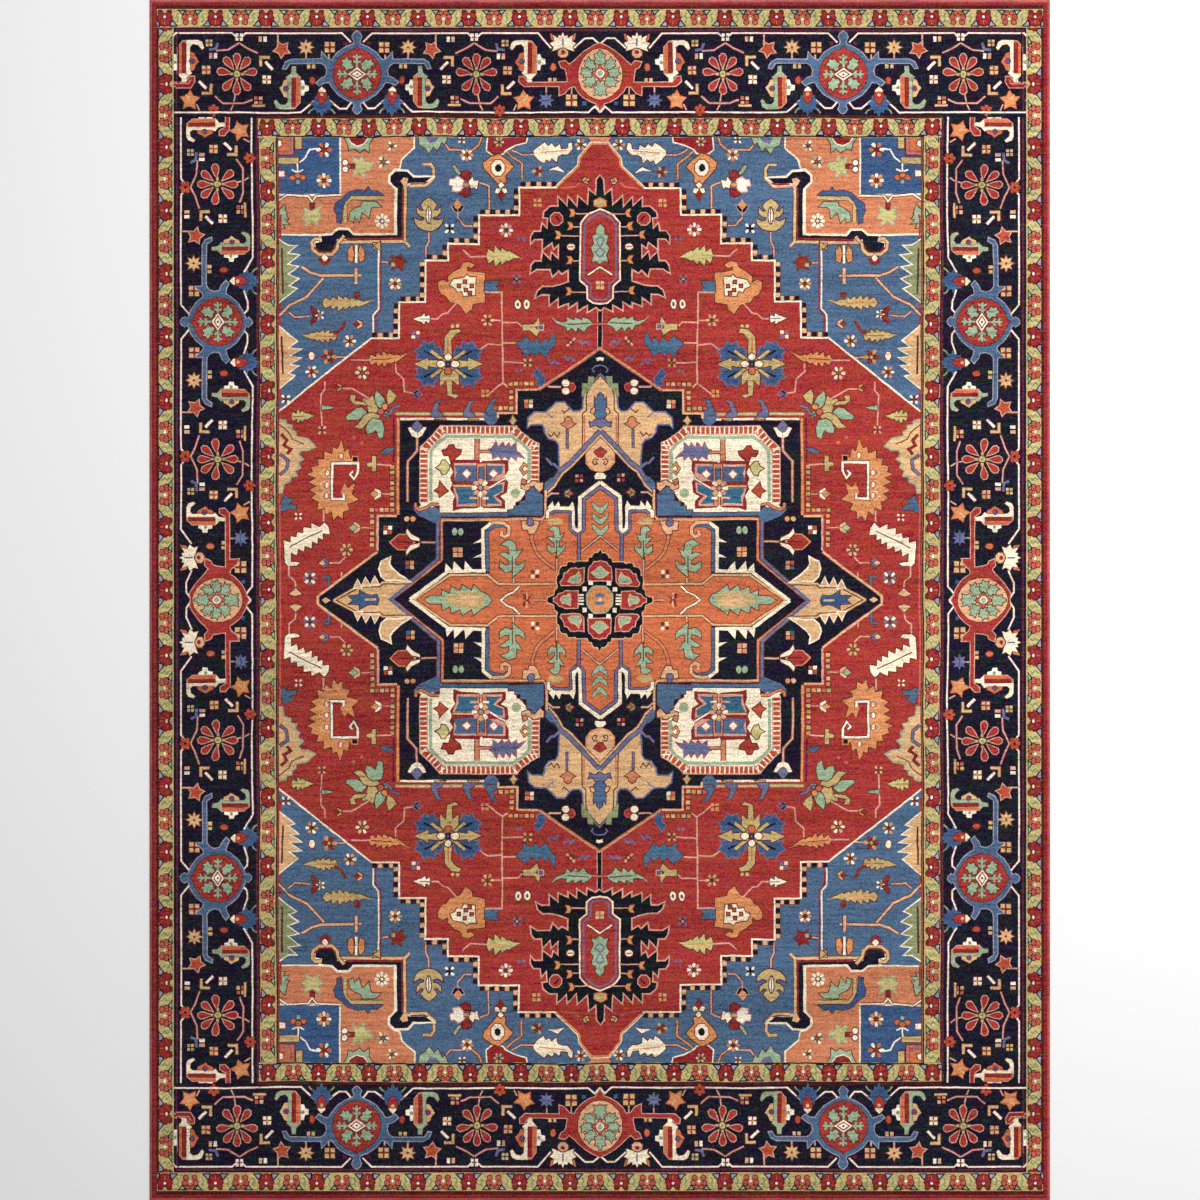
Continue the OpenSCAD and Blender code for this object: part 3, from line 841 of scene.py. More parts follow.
f.disc("orange", 215, 193, 3, edge="umber")
f.disc("rose", 219, 188, 3, edge="umber")
f.line("heather", [(200, 194), (207, 192), (210, 186), (215, 184)], 2.2, "umber")
f.line("pink", [(231, 201), (248, 211), (259, 211)], 1.5)
tulip(f, 258, 212, 0.9, "orange", "crimson", 0, "umber")
f.line("pink", [(278, 174), (279, 205), (275, 210), (275, 218)], 1.5)
rosette(f, 278, 170, 5, ["peach"], "crimson", 4, "umber", 45)
leaf(f, "citron", 308, 184, 22, 13, 180, 4, "umber", "brick")
leaf(f, "mint", 278, 192, 12, 7, 180, 2, "umber")
f.patch("camel", [(321, 180), (315, 179), (314, 175), (309, 174), (309, 170), (305, 168),
                  (305, 163), (293, 161), (286, 154), (292, 151), (299, 151), (303, 146),
                  (298, 141), (303, 138), (301, 133), (306, 130), (304, 125), (310, 124),
                  (310, 119), (316, 117), (318, 108), (321, 108)], "mint", 1.6)
f.line("umber", [(321, 176), (311, 168), (308, 161), (296, 156)], 1.1)
f.line("crimson", [(319, 166), (313, 160), (316, 155), (309, 151), (313, 146)], 1.6, "umber")
f.line("heather", [(320, 146), (312, 140), (313, 131), (320, 125)], 2.0, "umber")
f.patch("sky", [(205, 152), (213, 152), (220, 147), (213, 146)], "umber")
f.dots("rose", [(238, 157), (246, 162)], 2)

# The flaming square
f.patch("orange", [(244, 138), (246, 145), (250, 141), (252, 151), (256, 148), (259, 160),
                   (263, 151), (267, 153), (268, 146), (276, 149), (276, 141), (283, 141),
                   (281, 135), (289, 133), (287, 128), (293, 126), (284, 122), (291, 118),
                   (283, 114), (290, 110), (283, 106), (288, 102), (281, 98), (282, 90),
                   (275, 92), (274, 85), (268, 89), (266, 79), (262, 84), (257, 81),
                   (257, 88), (250, 90), (253, 96), (241, 100), (248, 106), (245, 117),
                   (252, 112), (256, 118), (259, 109), (268, 105), (268, 136)], "umber")
for x, y in ((276, 127), (276, 115), (276, 104)):
    f.line("camel", [(269, y + 4), (x, y + 4), (x + 4, y), (x, y - 4), (269, y - 4)], 1.4)
f.patch("madder", [(244, 137), (268, 137), (268, 101), (257, 101), (259, 108), (255, 117),
                   (250, 113), (246, 118)])
f.line("chalk", [(242, 128), (242, 137), (268, 137), (268, 101), (256, 101), (256, 106)], 2.2,
       "umber")
f.line("chalk", [(242, 128), (246, 121), (250, 126), (247, 129)], 1.8, "umber")
f.disc("night", 245, 141, 3.4, sides=4, edge="orange")
for x, y in ((273, 127), (273, 115), (273, 104), (259, 144)):
    f.disc("ivory", x, y, 1.8, 1.6, edge="brick", sides=6)
f.line("pink", [(208, 135), (226, 136)], 1.5)
f.patch("straw", [(224, 144), (228, 144), (228, 138), (233, 137), (233, 134), (228, 133),
                  (228, 129), (224, 129)], "umber")

# The lower side of the field
tulip(f, 218, 106, 1.3, "ivory", "orange", 0, "umber", 8, "pink")
tulip(f, 239, 72, 1.3, "peach", "mint", 0, "umber", 10, "pink")
rosette(f, 253, 50, 6.5, ["straw", "camel"], "brick", 6, "umber")
f.line("pink", [(254, 43), (260, 37), (271, 37)], 1.5)
tulip(f, 271, 37, 1.1, "heather", "peach", 0, "umber")
rosette(f, 290, 22, 7, ["heather", "ivory"], "crimson", 8, "umber")
f.patch("ivory", [(270, 65), (271, 72), (275, 77), (280, 72), (288, 76), (288, 71),
                  (296, 72), (296, 66), (302, 67), (303, 62), (309, 63), (309, 57),
                  (316, 59), (315, 37), (312, 34), (303, 34), (300, 37), (309, 38),
                  (309, 47), (303, 44), (302, 51), (296, 48), (295, 54), (288, 51),
                  (288, 58), (282, 56), (282, 62), (277, 60), (277, 66)], "umber")
f.line("umber", [(277, 69), (296, 60), (311, 52)], 1.1)
f.line("pink", [(276, 90), (276, 78)], 1.5)
f.line("pink", [(311, 34), (311, 24), (305, 19), (304, 12)], 1.5)
f.patch("peach", [(298, 6), (304, 12), (311, 6), (305, 4)], "umber")
rosette(f, 301, 83, 4.5, ["ivory"], "umber", 4, None, 45)
f.patch("sky", [(303, 90), (311, 91), (316, 88), (320, 90), (317, 99), (314, 105),
                (310, 101), (305, 101), (311, 96), (303, 94)], "umber")
f.line("sky", [(277, 23), (271, 23), (271, 14)], 2.4, "umber")
f.line("pink", [(258, 28), (258, 22), (263, 17)], 1.4)
f.line("rose", [(319.6, 105), (319.6, 0)], 1.6)
f.line("rose", [(20, 417), (25, 413), (40, 411)], 1.5)
tulip(f, 17, 418, 0.8, "camel", "orange", 160, "umber")
four_dots(f, 63, 397, ["straw", "orange"], 1.6)
sheared(knotted(field), "field_pile_knots", ["field_pile"])

# ---- The corners' pile ---------------------------------------------------------------
# The sky-blue ground beyond the stepped edge, one zone at each end of the field. Its
# sprays follow the field's, in the same wools.

corners = Drawing([(0, FIELD_Y), (0, 455)] + corner_steps[::-1][1:] + [(FIELD_X, FIELD_Y)], "sky")
c = corners

# Deep blue and apricot panels beside the end border
c.patch("denim", [(258, 463), (258, 404), (322, 404), (322, 463)])
c.patch("apricot", [(186, 463), (186, 452), (199, 441), (201, 432), (206, 431),
                    (212, 425), (212, 418), (206, 411), (206, 366), (248, 366),
                    (253, 371), (263, 371), (268, 366), (322, 366), (322, 404),
                    (259, 404), (259, 463)], "ivory", 1.6)
c.line("ivory", [(259, 404.6), (284, 403.6), (288, 398), (292, 403.6), (313, 405), (322, 399)],
       1.6, "plum")
c.patch("apricot", [(0, 463), (0, 457), (8, 457), (12, 463)], "umber")
rosette(c, 19, 455, 6, ["orange", "ivory"], "umber", 6, "umber")
c.patch("ivory", [(28, 457), (31, 456), (32, 451), (39, 450), (40, 455), (45, 452),
                  (48, 456), (52, 453), (55, 457), (60, 454), (66, 449), (66, 445),
                  (62, 440), (56, 436), (54, 440), (50, 438), (48, 441), (43, 437),
                  (42, 443), (38, 445), (32, 445), (27, 451)], "umber")
c.line("orange", [(33, 449), (60, 447)], 1.2)
c.line("pink", [(66, 445), (78, 445), (88, 450)], 1.5, "umber")
c.patch("chalk", [(35, 427), (42, 433), (52, 429), (43, 429)], "umber")
rosette(c, 62, 428, 6, ["straw", "crimson"], "umber", 6, "umber")
c.line("orange", [(97, 452), (88, 443), (78, 436), (78, 420)], 1.7, "umber")
c.patch("crimson", [(73, 463), (74, 458), (85, 455), (95, 450), (97, 447), (104, 445),
                    (108, 446), (113, 450), (112, 463)], "ivory", 1.3)
rosette(c, 101, 458, 5, ["mint", "peach"], "umber", 6, "umber")
c.patch("orange", [(87, 433), (91, 438), (101, 446), (108, 444), (117, 437), (115, 431),
                   (106, 421), (101, 415), (94, 418), (95, 424)], "umber", 1.2)
c.disc("ivory", 102, 432, 7, 1.2, edge="crimson")
c.disc("night", 102, 432, 3.4, 1.2)
c.line("pink", [(111, 390), (111, 414), (121, 418)], 1.6, "umber")
for turn in (90, 210, 330):
    c.at(99, 411).at(0, 0, turn).patch("ivory", [(0, 0), (4, 3), (7, 0), (4, -3)], "umber")
c.patch("crimson", [(99, 400), (102, 405), (99, 409), (96, 405)], "umber")
c.patch("mint", [(139, 427), (145, 435), (147, 434), (143, 427), (140, 425)], "umber")
c.patch("crimson", [(129, 427), (133, 429), (138, 428), (138, 420), (131, 420)], "maroon")
c.patch("crimson", [(130, 411), (138, 410), (140, 406), (134, 403), (130, 405)], "maroon")
c.patch("ivory", [(121, 420), (126, 419), (127, 423), (131, 418), (129, 412), (125, 413),
                  (123, 411)], "umber")
c.patch("chalk", [(137, 420), (142, 423), (145, 420), (149, 420), (150, 415), (146, 414),
                  (147, 409), (141, 408), (138, 411), (135, 415)], "pink")
c.line("orange", [(131, 415), (137, 415)], 3.2, "umber")
tulip(c, 142, 387, 1.4, "night", "orange", 90, "pink", 7, "pink")
c.line("pink", [(142, 382), (135, 374), (128, 374)], 1.5, "umber")
rosette(c, 150, 371, 6, ["chalk"], "night", 4, "night", 45)
c.line("pink", [(171, 368), (171, 358), (174, 352), (174, 342)], 1.6, "umber")
c.at(171, 384).both("straw", [(0, 17), (5, 14), (8, 10), (6, 7), (4.5, 4.6), (8.6, 4), (12, 8),
                              (12, 2.6), (8, -1), (4.4, -1.6), (4.4, -4.6), (9, -5.6),
                              (14.6, -3), (13.4, -8), (9, -13), (4, -15), (0, -15.6)],
                    "plum", 1.2)
c.disc("umber", 171, 384, 3.4, 2.9)
c.disc("chalk", 171, 384, 2.2, 3.6)
c.line("plum", [(171, 377), (171, 391)], 1.0)
c.line("orange", [(118, 463), (121, 455), (131, 447)], 1.8, "umber")
rosette(c, 133, 445, 6.5, ["orange", "ivory"], "crimson", 8, "umber")
c.line("pink", [(138, 450), (150, 450), (155, 456)], 1.6, "umber")
rosette(c, 138, 460, 4.5, ["ivory"], "crimson", 4, "umber", 45)
c.patch("mint", [(152, 463), (155, 455), (158, 458), (162, 449), (166, 453), (171, 446),
                 (174, 452), (180, 455), (181, 463)], "umber")
c.patch("heather", [(160, 463), (163, 458), (170, 456), (174, 463)])

# The black and ivory bracket that parts the corner
c.line("camel", [(177, 435), (169, 435.4), (166, 431), (166, 421), (174, 413.4), (190, 413.4)],
       2.6, "umber")
c.patch("night", [(168, 422), (187, 422), (193, 428), (205, 428.4), (210, 424), (210, 418),
                  (203, 411), (203, 364.6), (247, 364.6), (252, 370), (262, 370), (268, 365),
                  (279, 364), (278, 359), (285, 357), (284, 352), (279, 348), (268, 348),
                  (264, 352), (263, 361), (197.4, 361), (197.4, 412), (191, 416.4),
                  (175, 416.4)], "ivory", 2.2)
c.line("crimson", [(172, 417), (176, 415.4), (190, 415.4)], 1.6)
c.line("crimson", [(197.4, 411), (197.4, 361), (254, 361)], 1.8)
c.line("camel", [(190, 353), (195, 358), (260, 358), (263.4, 354)], 2.8, "umber")
c.line("camel", [(195, 358), (195, 413), (199, 420)], 2.6, "umber")
c.patch("peach", [(190, 413), (193, 417), (192, 421), (197, 422), (200, 419), (196, 413)])
c.line("crimson", [(265, 355), (265, 352), (269, 348.4), (280, 348.4), (285, 353)], 1.4)
c.line("camel", [(256, 364), (262, 357), (263, 351), (268, 346), (281, 346), (287, 351),
                 (288, 358), (285, 361.4), (279, 361)], 2.8, "umber")
c.patch("straw", [(220, 357), (227, 357), (226, 350)], "umber")

# Flowers in the apricot panel
rosette(c, 208, 454, 5.5, ["straw", "chalk"], "crimson", 6, "umber")
rosette(c, 217, 438, 6.5, ["mint", "ivory"], "brick", 6, "umber")
c.patch("mint", [(227, 463), (231, 456), (231, 448), (236, 452), (240, 448), (246, 452),
                 (251, 450), (252, 456), (256, 463)], "umber")
c.patch("crimson", [(232, 463), (236, 457), (243, 455), (249, 458), (252, 463)], "ivory")
c.patch("citron", [(228, 437), (236, 438), (238, 444), (241, 439), (247, 443), (245, 437),
                   (250, 434), (245, 431), (247, 424), (241, 429), (236, 423), (236, 430),
                   (230, 431)], "mint")
c.disc("crimson", 248, 434, 3.4, 0.7, sides=4, edge="umber")
c.disc("rose", 251, 434, 2.2, 0.8, sides=4)
for y in (430.6, 437.4):
    c.disc("chalk", 255, y, 2.9, 1.0, edge="plum")
rosette(c, 218, 379, 7.5, ["ivory"], "ivory", 8, "umber")
c.line("straw", [(217, 402), (249, 402), (255, 396), (255, 378)], 3.4, "umber")
c.patch("denim", [(217, 405), (223, 409), (229, 409), (232, 413), (235, 409), (243, 410),
                  (252, 407), (258, 401), (264, 397), (266, 390), (263, 384), (263, 378),
                  (259, 377), (258.4, 390), (255, 398), (249, 404.6)], "plum", 0.8)
c.patch("mint", [(219, 393), (224, 398), (238, 398.4), (239, 394), (246, 391), (250, 387),
                 (251, 380), (247, 378), (246, 384), (241, 378), (238, 388), (235, 386),
                 (231, 382), (230, 390), (228, 393)], "umber")

# The deep blue panel and the strip beside the side border
rosette(c, 276, 450, 8, ["chalk", "rust"], "crimson", 6, "umber")
c.line("chalk", [(283, 451), (290, 450), (294, 442), (302, 436)], 1.6)
c.patch("straw", [(298, 463), (298, 451), (304, 451), (304, 463)], "umber")
c.patch("rust", [(306, 464), (306, 445), (322, 445), (322, 464)], "plum", 1.2)
c.line("heather", [(309, 463), (309, 448), (322, 448)], 1.3)
c.patch("chalk", [(322, 460), (318, 459), (317, 455), (322, 452)], "umber")
c.patch("straw", [(301, 442), (301, 436), (322, 436), (322, 442)], "umber")
rosette(c, 276, 419, 7.5, ["ivory", "orange"], "crimson", 8, "umber")
c.line("chalk", [(302, 436), (302, 428)], 1.4)
c.line("chalk", [(296, 430), (302, 427), (308, 430)], 1.4)
for x, y in ((297, 422), (307, 422), (302, 424)):
    c.disc("rust", x, y, 3.0, 0.8, edge="umber")
c.disc("mint", 302, 417.6, 2.4, 1.0, sides=4)
c.disc("chalk", 318, 426, 4, sides=4, edge="crimson")
c.disc("crimson", 288, 393, 2.6, 1.9, sides=4, edge="umber")
c.patch("citron", [(288, 388), (293, 390), (296, 393), (294, 387), (298, 383), (293, 380),
                   (294, 375), (288, 379), (282, 375), (283, 380), (278, 383), (282, 387),
                   (280, 393), (285, 390)], "mint")
leaf(c, "mint", 322, 372, 24, 18, 105, 4, "umber", "brick")
c.line("madder", [(319.6, 385), (319.6, 200)], 1.8)

# Below the bracket
c.patch("crimson", [(194, 338), (199, 341), (199, 345), (203, 342), (208, 344), (207, 339),
                    (212, 337), (207, 334), (208, 330), (203, 333), (198, 330), (198, 335)],
        "umber")
c.disc("mint", 207, 335, 2.6, sides=4)
c.line("pink", [(212, 337), (220, 338)], 1.5, "umber")
rosette(c, 205, 316, 6.5, ["orange", "ivory"], "umber", 8, "umber")
c.line("crimson", [(219, 357), (219, 290), (224, 284), (224, 262)], 1.5)
c.line("ivory", [(221.5, 357), (221.5, 291), (226.5, 285), (226.5, 262)], 1.5)
c.patch("straw", [(220, 358), (226, 354), (220, 350)], "umber")
c.line("chalk", [(244, 355), (244, 337)], 2.4, "umber")
c.patch("orange", [(236, 350), (240, 355), (242, 346), (240, 338), (236, 340)], "umber")
c.patch("orange", [(252, 350), (248, 355), (246, 346), (248, 338), (252, 340)], "umber")
c.line("peach", [(239, 324.5), (279, 324.5), (288, 327), (298, 333)], 2.4, "plum")
c.line("peach", [(244, 332), (244, 316)], 3.0, "plum")
c.line("peach", [(276, 322), (293, 303), (310, 295), (321, 284)], 2.2, "plum")
c.patch("sage", [(321, 360), (312, 354), (304, 354), (313, 346), (301, 345), (313, 335),
                 (302, 333), (313, 325), (302, 321), (312, 314), (304, 311), (321, 298)],
        "ivory", 1.3)
c.line("umber", [(318, 352), (317, 306)], 2.0)
tulip(c, 275, 335, 1.3, "crimson", "ivory", 90, "umber")
leaf(c, "straw", 277, 297, 48, 14, 180, 6, "umber", "orange", -3)
c.disc("crimson", 243, 305, 2.6, edge="umber")
rosette(c, 280, 285, 5, ["chalk"], "orange", 5, "umber")
leaf(c, "crimson", 284, 286, 9, 8, 60, 2, "umber")
leaf(c, "crimson", 284, 283, 9, 8, -60, 2, "umber")
c.line("pink", [(290, 284), (305, 283), (311, 288)], 1.6, "umber")
tulip(c, 237, 276, 1.0, "peach", "crimson", 0, "umber")
rosette(c, 250, 259, 6.5, ["orange", "chalk"], "umber", 6, "umber")
rosette(c, 288, 228, 6.5, ["chalk", "orange"], "umber", 6, "umber")
leaf(c, "straw", 263, 264, 34, 13, 0, 5, "umber", "brick", 2)
c.line("crimson", [(254, 279), (259, 270), (266, 266)], 1.6, "umber")
rosette(c, 271, 243, 8, ["crimson", "orange"], "straw", 6, "umber")
c.disc("ivory", 288, 244, 3, 1.4, edge="crimson")
c.line("pink", [(250, 242), (263, 243)], 1.6, "umber")
c.patch("camel", [(321, 274), (313, 267), (303, 259), (312, 252), (299, 251), (312, 243),
                  (299, 242), (311, 235), (302, 234), (313, 226), (306, 224), (321, 212)],
        "ivory", 1.3)
c.line("umber", [(318, 264), (317, 226)], 2.0)
rosette(c, 314, 201, 5.5, ["chalk"], "crimson", 4, "umber", 45)

# Black and peach blocks along the steps, inside an ivory line
steps = corner_steps[1:-4]
for a, b in zip(steps, steps[1:]):
    start, way = complex(*a), complex(b[0] - a[0], b[1] - a[1])
    count = max(2, round(abs(way) / 5.3))
    for i in range(count):
        middle = start + way * (i + 0.5) / count - way / abs(way) * 4.2j
        half = way / abs(way) * 2.1
        ring = [middle + half * (1 + 1j), middle + half * (-1 + 1j),
                middle - half * (1 + 1j), middle + half * (1 - 1j)]
        c.patch("peach" if i % 2 else "night", [(z.real, z.imag) for z in ring], "umber", 0.6)
c.line("ivory", corner_steps[:-4], 3.6)
c.line("orange", corner_steps[-5:], 4.2, "ivory")

upper = knotted(corners, down=False)
sheared(upper.copy(), "top_corners_pile_knots", ["top_corners_pile"])
bmesh.ops.scale(upper, vec=(1, -1, 1), verts=upper.verts)
sheared(upper, "bottom_corners_pile_knots", ["bottom_corners_pile"])

# ---- The inner guard's pile ----------------------------------------------------------
# A narrow straw border of flowers, turn about dark and light. The strips at the ends run
# its full width, and the strips at the sides stand between them.

def pair(flat, nodes, mirror):
    """A strip and its opposite, from the same flat net."""
    sheared(flat.copy(), nodes[0] + "_knots", [nodes[0]])
    bmesh.ops.scale(flat, vec=mirror, verts=flat.verts)
    sheared(flat, nodes[1] + "_knots", [nodes[1]])


def strip(x0, y0, x1, y1, wool):
    """The drawing of a strip that is one wool to start with."""
    return Drawing([(x0, y0), (x1, y0), (x1, y1), (x0, y1)], wool)


def dark_flower(d):
    """A crimson flower with two knobs on top and a leaf at each side of its foot."""
    d.both("crimson", [(0, 3.4), (2.2, 5.2), (3.2, 7.2), (5.8, 7.4), (6.6, 5), (5.8, 3),
                       (7.4, 0.4), (6.4, -3), (6, -5), (3.6, -7.4), (0, -8)], "maroon", 0.9)
    for side in (1, -1):
        d.patch("lilac", [(6.4 * side, -5), (7.6 * side, -3.4), (11.4 * side, -7.6),
                          (6 * side, -7.8)], "jet", 1.3)
        d.disc("umber", 4.6 * side, 6.2, 1.5, sides=6)
        d.disc("madder", 4.4 * side, 2.2, 1.7, sides=6)
        d.line("madder", [(2 * side, -2), (3.2 * side, -5.8)], 1.5)
    d.line("rose", [(0, -2.4), (0, -6.4)], 1.3)
    d.disc("chalk", 0, 1.2, 1.5, sides=6, edge="maroon", width=0.6)


def light_flower(d):
    """A ring of six rose petals about a white eye, with a leaf at each side of its top."""
    for side in (1, -1):
        d.patch("mint", [(5.6 * side, 7), (10.6 * side, 7.2), (7.4 * side, 4)], "jet", 1.3)
    for x, y, r in ((2.2, 5, 2.1), (5.4, 0.8, 2.5), (4.4, -4.4, 2.5)):
        for side in (1, -1):
            d.disc("rose", x * side, y, r, sides=6, edge="maroon", width=0.8)
            d.line("brick", [(0.5 * side, 0), (x * side, y)], 1.0)
    d.disc("chalk", 0, -0.8, 1.5, sides=6)


def guard_flowers(d, pitch, count, drift, wide=1.0, size=1.0):
    """Flowers from corner to corner, a light and a dark one by turns, with green between."""
    for i in range(-count, count + 1):
        x = pitch * i + drift * (1 - abs(i) / count)
        smudge = d.at(x + pitch / 2, 0, 0, size, False, wide)
        smudge.patch("citron", [(-3, -7), (2, -6), (3.5, 0), (3, 7), (-2, 6), (-3.5, 0)])
        smudge.line("sage", [(-1, -5), (1, -1), (-1, 2), (1, 5)], 1.6)
        motif = d.at(x, 0, 0, size, False, wide)
        if (i - count) % 2:
            light_flower(motif)
        else:
            dark_flower(motif)


INNER_X, INNER_Y = 341.07, 482.65
inner_end = strip(-INNER_X, FIELD_Y, INNER_X, INNER_Y, "straw")
guard_flowers(inner_end.at(0, 472.8), 25.54, 13, -3)
inner_end.line("maroon", [(-342, 482.2), (342, 482.2)], 1.4)
inner_end.line("jet", [(-324, 463.3), (324, 463.3)], 1.4)
inner_side = strip(FIELD_X, -FIELD_Y, INNER_X, FIELD_Y, "straw")
guard_flowers(inner_side.at(332, 0, 90), 33.9, 14, 10.6, 1.65, 0.83)
inner_side.line("maroon", [(340.5, -463), (340.5, 463)], 1.4)
inner_side.line("crimson", [(321.3, -463), (321.3, 463)], 1.6)
inner_side.line("jet", [(323, -463), (323, 463.3)], 1.4)
pair(knotted(inner_end, False, False), ("top_inner_guard_pile", "bottom_inner_guard_pile"),
     (1, -1, 1))
pair(knotted(inner_side, False, False), ("right_inner_guard_pile", "left_inner_guard_pile"),
     (-1, 1, 1))

# ---- The main border's pile ----------------------------------------------------------
# The wide night border: palmettes and rosettes joined by hooked stems between two ivory
# lines. The same run of motifs goes along the ends and, drawn out a little, up the sides.


def star(d, x, y, r, wool, edge, points=5, turn=90):
    """A ragged star flower."""
    ring = []
    for i in range(2 * points):
        reach = r if i % 2 == 0 else r * 0.55
        angle = math.radians(turn + 180 * i / points)
        ring.append((x + reach * math.cos(angle), y + reach * math.sin(angle)))
    d.patch(wool, ring, edge)


def blocks(d, x, y, wools, high=2.6):
    """Two small upright blocks side by side."""
    for middle, wool in zip((x - 2.4, x + 2.4), wools):
        d.patch(wool, [(middle - 1.6, y - high), (middle + 1.6, y - high),
                       (middle + 1.6, y + high), (middle - 1.6, y + high)])


def anchor(d, x, y, turn):
    """Two bars that meet in a corner, and an ivory bar that points into it."""
    d = d.at(x, y, turn)
    d.line("camel", [(9, 0), (0, 0), (0, 9)], 2.6, "umber")
    d.line("chalk", [(4.5, 4.5), (12, 12)], 2.6, "plum")


def oak_leaf(d, turn, start, reach, edge):
    """A lobed mint leaf that stands out from the middle of a palmette."""
    k = (reach - start) / 14
    d.at(start * math.cos(math.radians(turn)), start * math.sin(math.radians(turn)), turn, k).patch(
        "mint", [(0, 0), (1, 3.2), (4.4, 3), (6, 5.8), (8.6, 4), (12.6, 5.4), (11.8, 1.4), (14, -0.6),
                 (10.6, -1.8), (10, -4.8), (6.6, -3.6), (3, -5), (2, -1.6)], edge, 0.9)


def hooked_vase(d, x, y, turn, spine, petals, flip=False, size=1.0):
    """A tall striped vase on a point, with a hooked lip and half a flower each side."""
    d = d.at(x, y, turn, size, flip)
    d.patch(spine, [(-4, -22), (0, -22), (1, -15), (6, -11), (4, -8), (4, 15), (7, 18),
                    (12, 17), (16, 12), (18, 14), (16, 20), (12, 22), (0, 22), (-3, 20),
                    (-3, -11), (-9, -11), (-4, -16)], "umber", 0.6)
    d.patch("rust", [(-8, -11), (-8, 15), (-3, 21), (0, 21), (0, -11)], "pink", 0.7)
    d.patch("crimson", [(-3.4, -10), (-3.4, 19), (0, 19), (0, -10)], "maroon", 0.5)
    d.patch("chalk", [(-9, -8), (-12, -8), (-13, -3), (-17, -2), (-17, 3), (-13, 4),
                      (-12, 8), (-9, 8)])
    d.disc("sage", -11, 0, 2)
    d.patch(petals, [(4.5, -9), (8, -8), (10, -3), (13, 0), (10, 5), (8, 9), (4.5, 10)])
    d.disc("denim", 6, 1, 2.2, edge="crimson")


def madder_palmette(d, tall, arm):
    """A madder disc with eight mint leaves, in a sky ring with two hooked arms."""
    d.both("sky", [(0, 43 * tall), (3, 41 * tall), (4.6, 37.6 * tall), (2.6, 33 * tall), (3.4, 30),
                   (11, 27), (19, 21.6), (25, 14), (29, 15), (35, 22), (35.4, 15), (arm, 15),
                   (arm + 5.4, 12.4), (arm + 8, 6.4), (arm + 5, 6), (arm + 1.6, 11.4),
                   (36, 11.6), (32, 9), (30, 4), (31, -2), (36, -4), (41, -8), (38, -11),
                   (33, -8.4), (28, -7.6), (25, -13), (19, -20), (11, -25), (4, -28),
                   (2.6, -31 * tall), (4.4, -35 * tall), (2, -38 * tall), (0, -39 * tall)],
           "lilac", 0.9)
    d.both("madder", [(0, 28), (3, 25), (11, 21.6), (18, 16), (22.6, 8), (24, -1), (22, -10),
                      (16, -18), (8, -23), (0, -25)], "maroon", 0.7)
    for turn in (45, 135, 225, 315):
        oak_leaf(d, turn, 7, 21, "maroon")
    for turn in (0, 90, 180, 270):
        spray = d.at(0, 0, turn)
        spray.line("mint", [(6, 0), (20, 0)], 2.4, "maroon")
        for x, y in ((11, 3.6), (16, 4)):
            for side in (1, -1):
                spray.line("mint", [(x, 0), (x + 2, y * side)], 1.9)
    d.patch("ivory", [(9, 0), (0, 6.6), (-9, 0), (0, -6.6)], "maroon", 0.6)
    d.patch("crimson", [(7, 0), (0, 4.6), (-7, 0), (0, -4.6)])
    d.patch("chalk", [(5, 0), (0, 3.2), (-5, 0), (0, -3.2)])
    d.disc("jet", 0, 0, 1.3, sides=4)


def border_rosette(d):
    """Eight round-ended madder petals, each edged in white, about a small heart."""
    for turn in (90, 52, 8, -50, -90, -130, 172, 128):
        d.at(0, 0, turn).patch("madder", [(6, 0), (10, 1.5), (14, 2.9), (17, 3.2), (19.6, 1.6),
                                          (20, -1), (17.6, -3.2), (14, -2.9), (10, -1.5)],
                               "pink", 0.9)
    for turn in (0, 90, 180, 270):
        d.at(0, 0, turn).line("straw", [(2, 0), (7, 0)], 2.4, "umber")
    d.disc("citron", 0, 0, 3, 1.2, edge="umber")
    d.disc("sage", 0, 0, 1.4, 1.4)


def peach_palmette(d, tall, arm):
    """The palmette in the middle of each side, drawn over its lower arms."""
    d.both("madder", [(0, 30 * tall), (7, 27), (15, 22), (22, 16), (26, 12), (31, 8), (35, 12),
                      (41, 11), (39, 6), (35, 4), (34, 0), (33, -6), (33, -9.4), (arm - 6, -9.4),
                      (arm - 2, -3.4), (arm + 2, -3.4), (arm + 2.4, -8), (arm - 3, -12.8),
                      (41, -12.8), (41, -22), (36, -20), (31, -14), (26, -13), (23, -18),
                      (17, -24), (10, -28), (4, -30), (0, -37 * tall)], "pink", 0.9)
    d.both("peach", [(0, 25), (7, 23), (13, 19), (18, 13), (22, 4), (22, -6), (19, -15),
                     (12, -22), (6, -25), (0, -26)], "maroon", 0.7)
    for turn, reach in ((90, 23), (40, 20), (0, 20), (-40, 20), (-90, 23), (220, 20),
                        (180, 20), (140, 20)):
        oak_leaf(d, turn, 7, reach, "umber")
    star(d, 0, 0, 8, "rose", "umber", 4, 0)
    d.disc("mint", 0, 0, 3, edge="chalk")


def tip_flower(d):
    """A spiked night-blue lotus with a madder bud, that points at the lower line."""
    for side in (1, -1):
        d.line("sage", [(5 * side, -6), (11 * side, -10), (13 * side, -13)], 1.6)
    d.both("denim", [(0, 4), (6, 4), (6.6, 0), (10.4, -3), (6.8, -4), (8.6, -9), (5, -7.4),
                     (4, -11.4), (2.2, -9.4), (0, -15)], "sky", 0.9)
    d.both("madder", [(0, 10), (4, 9), (5, 4), (3, -1), (0, -4)], "maroon", 0.7)
    d.both("ivory", [(0, 14), (4, 10), (3, 8.6), (0, 9)], "umber", 0.5)
    d.disc("peach", 0, 6, 1.8)


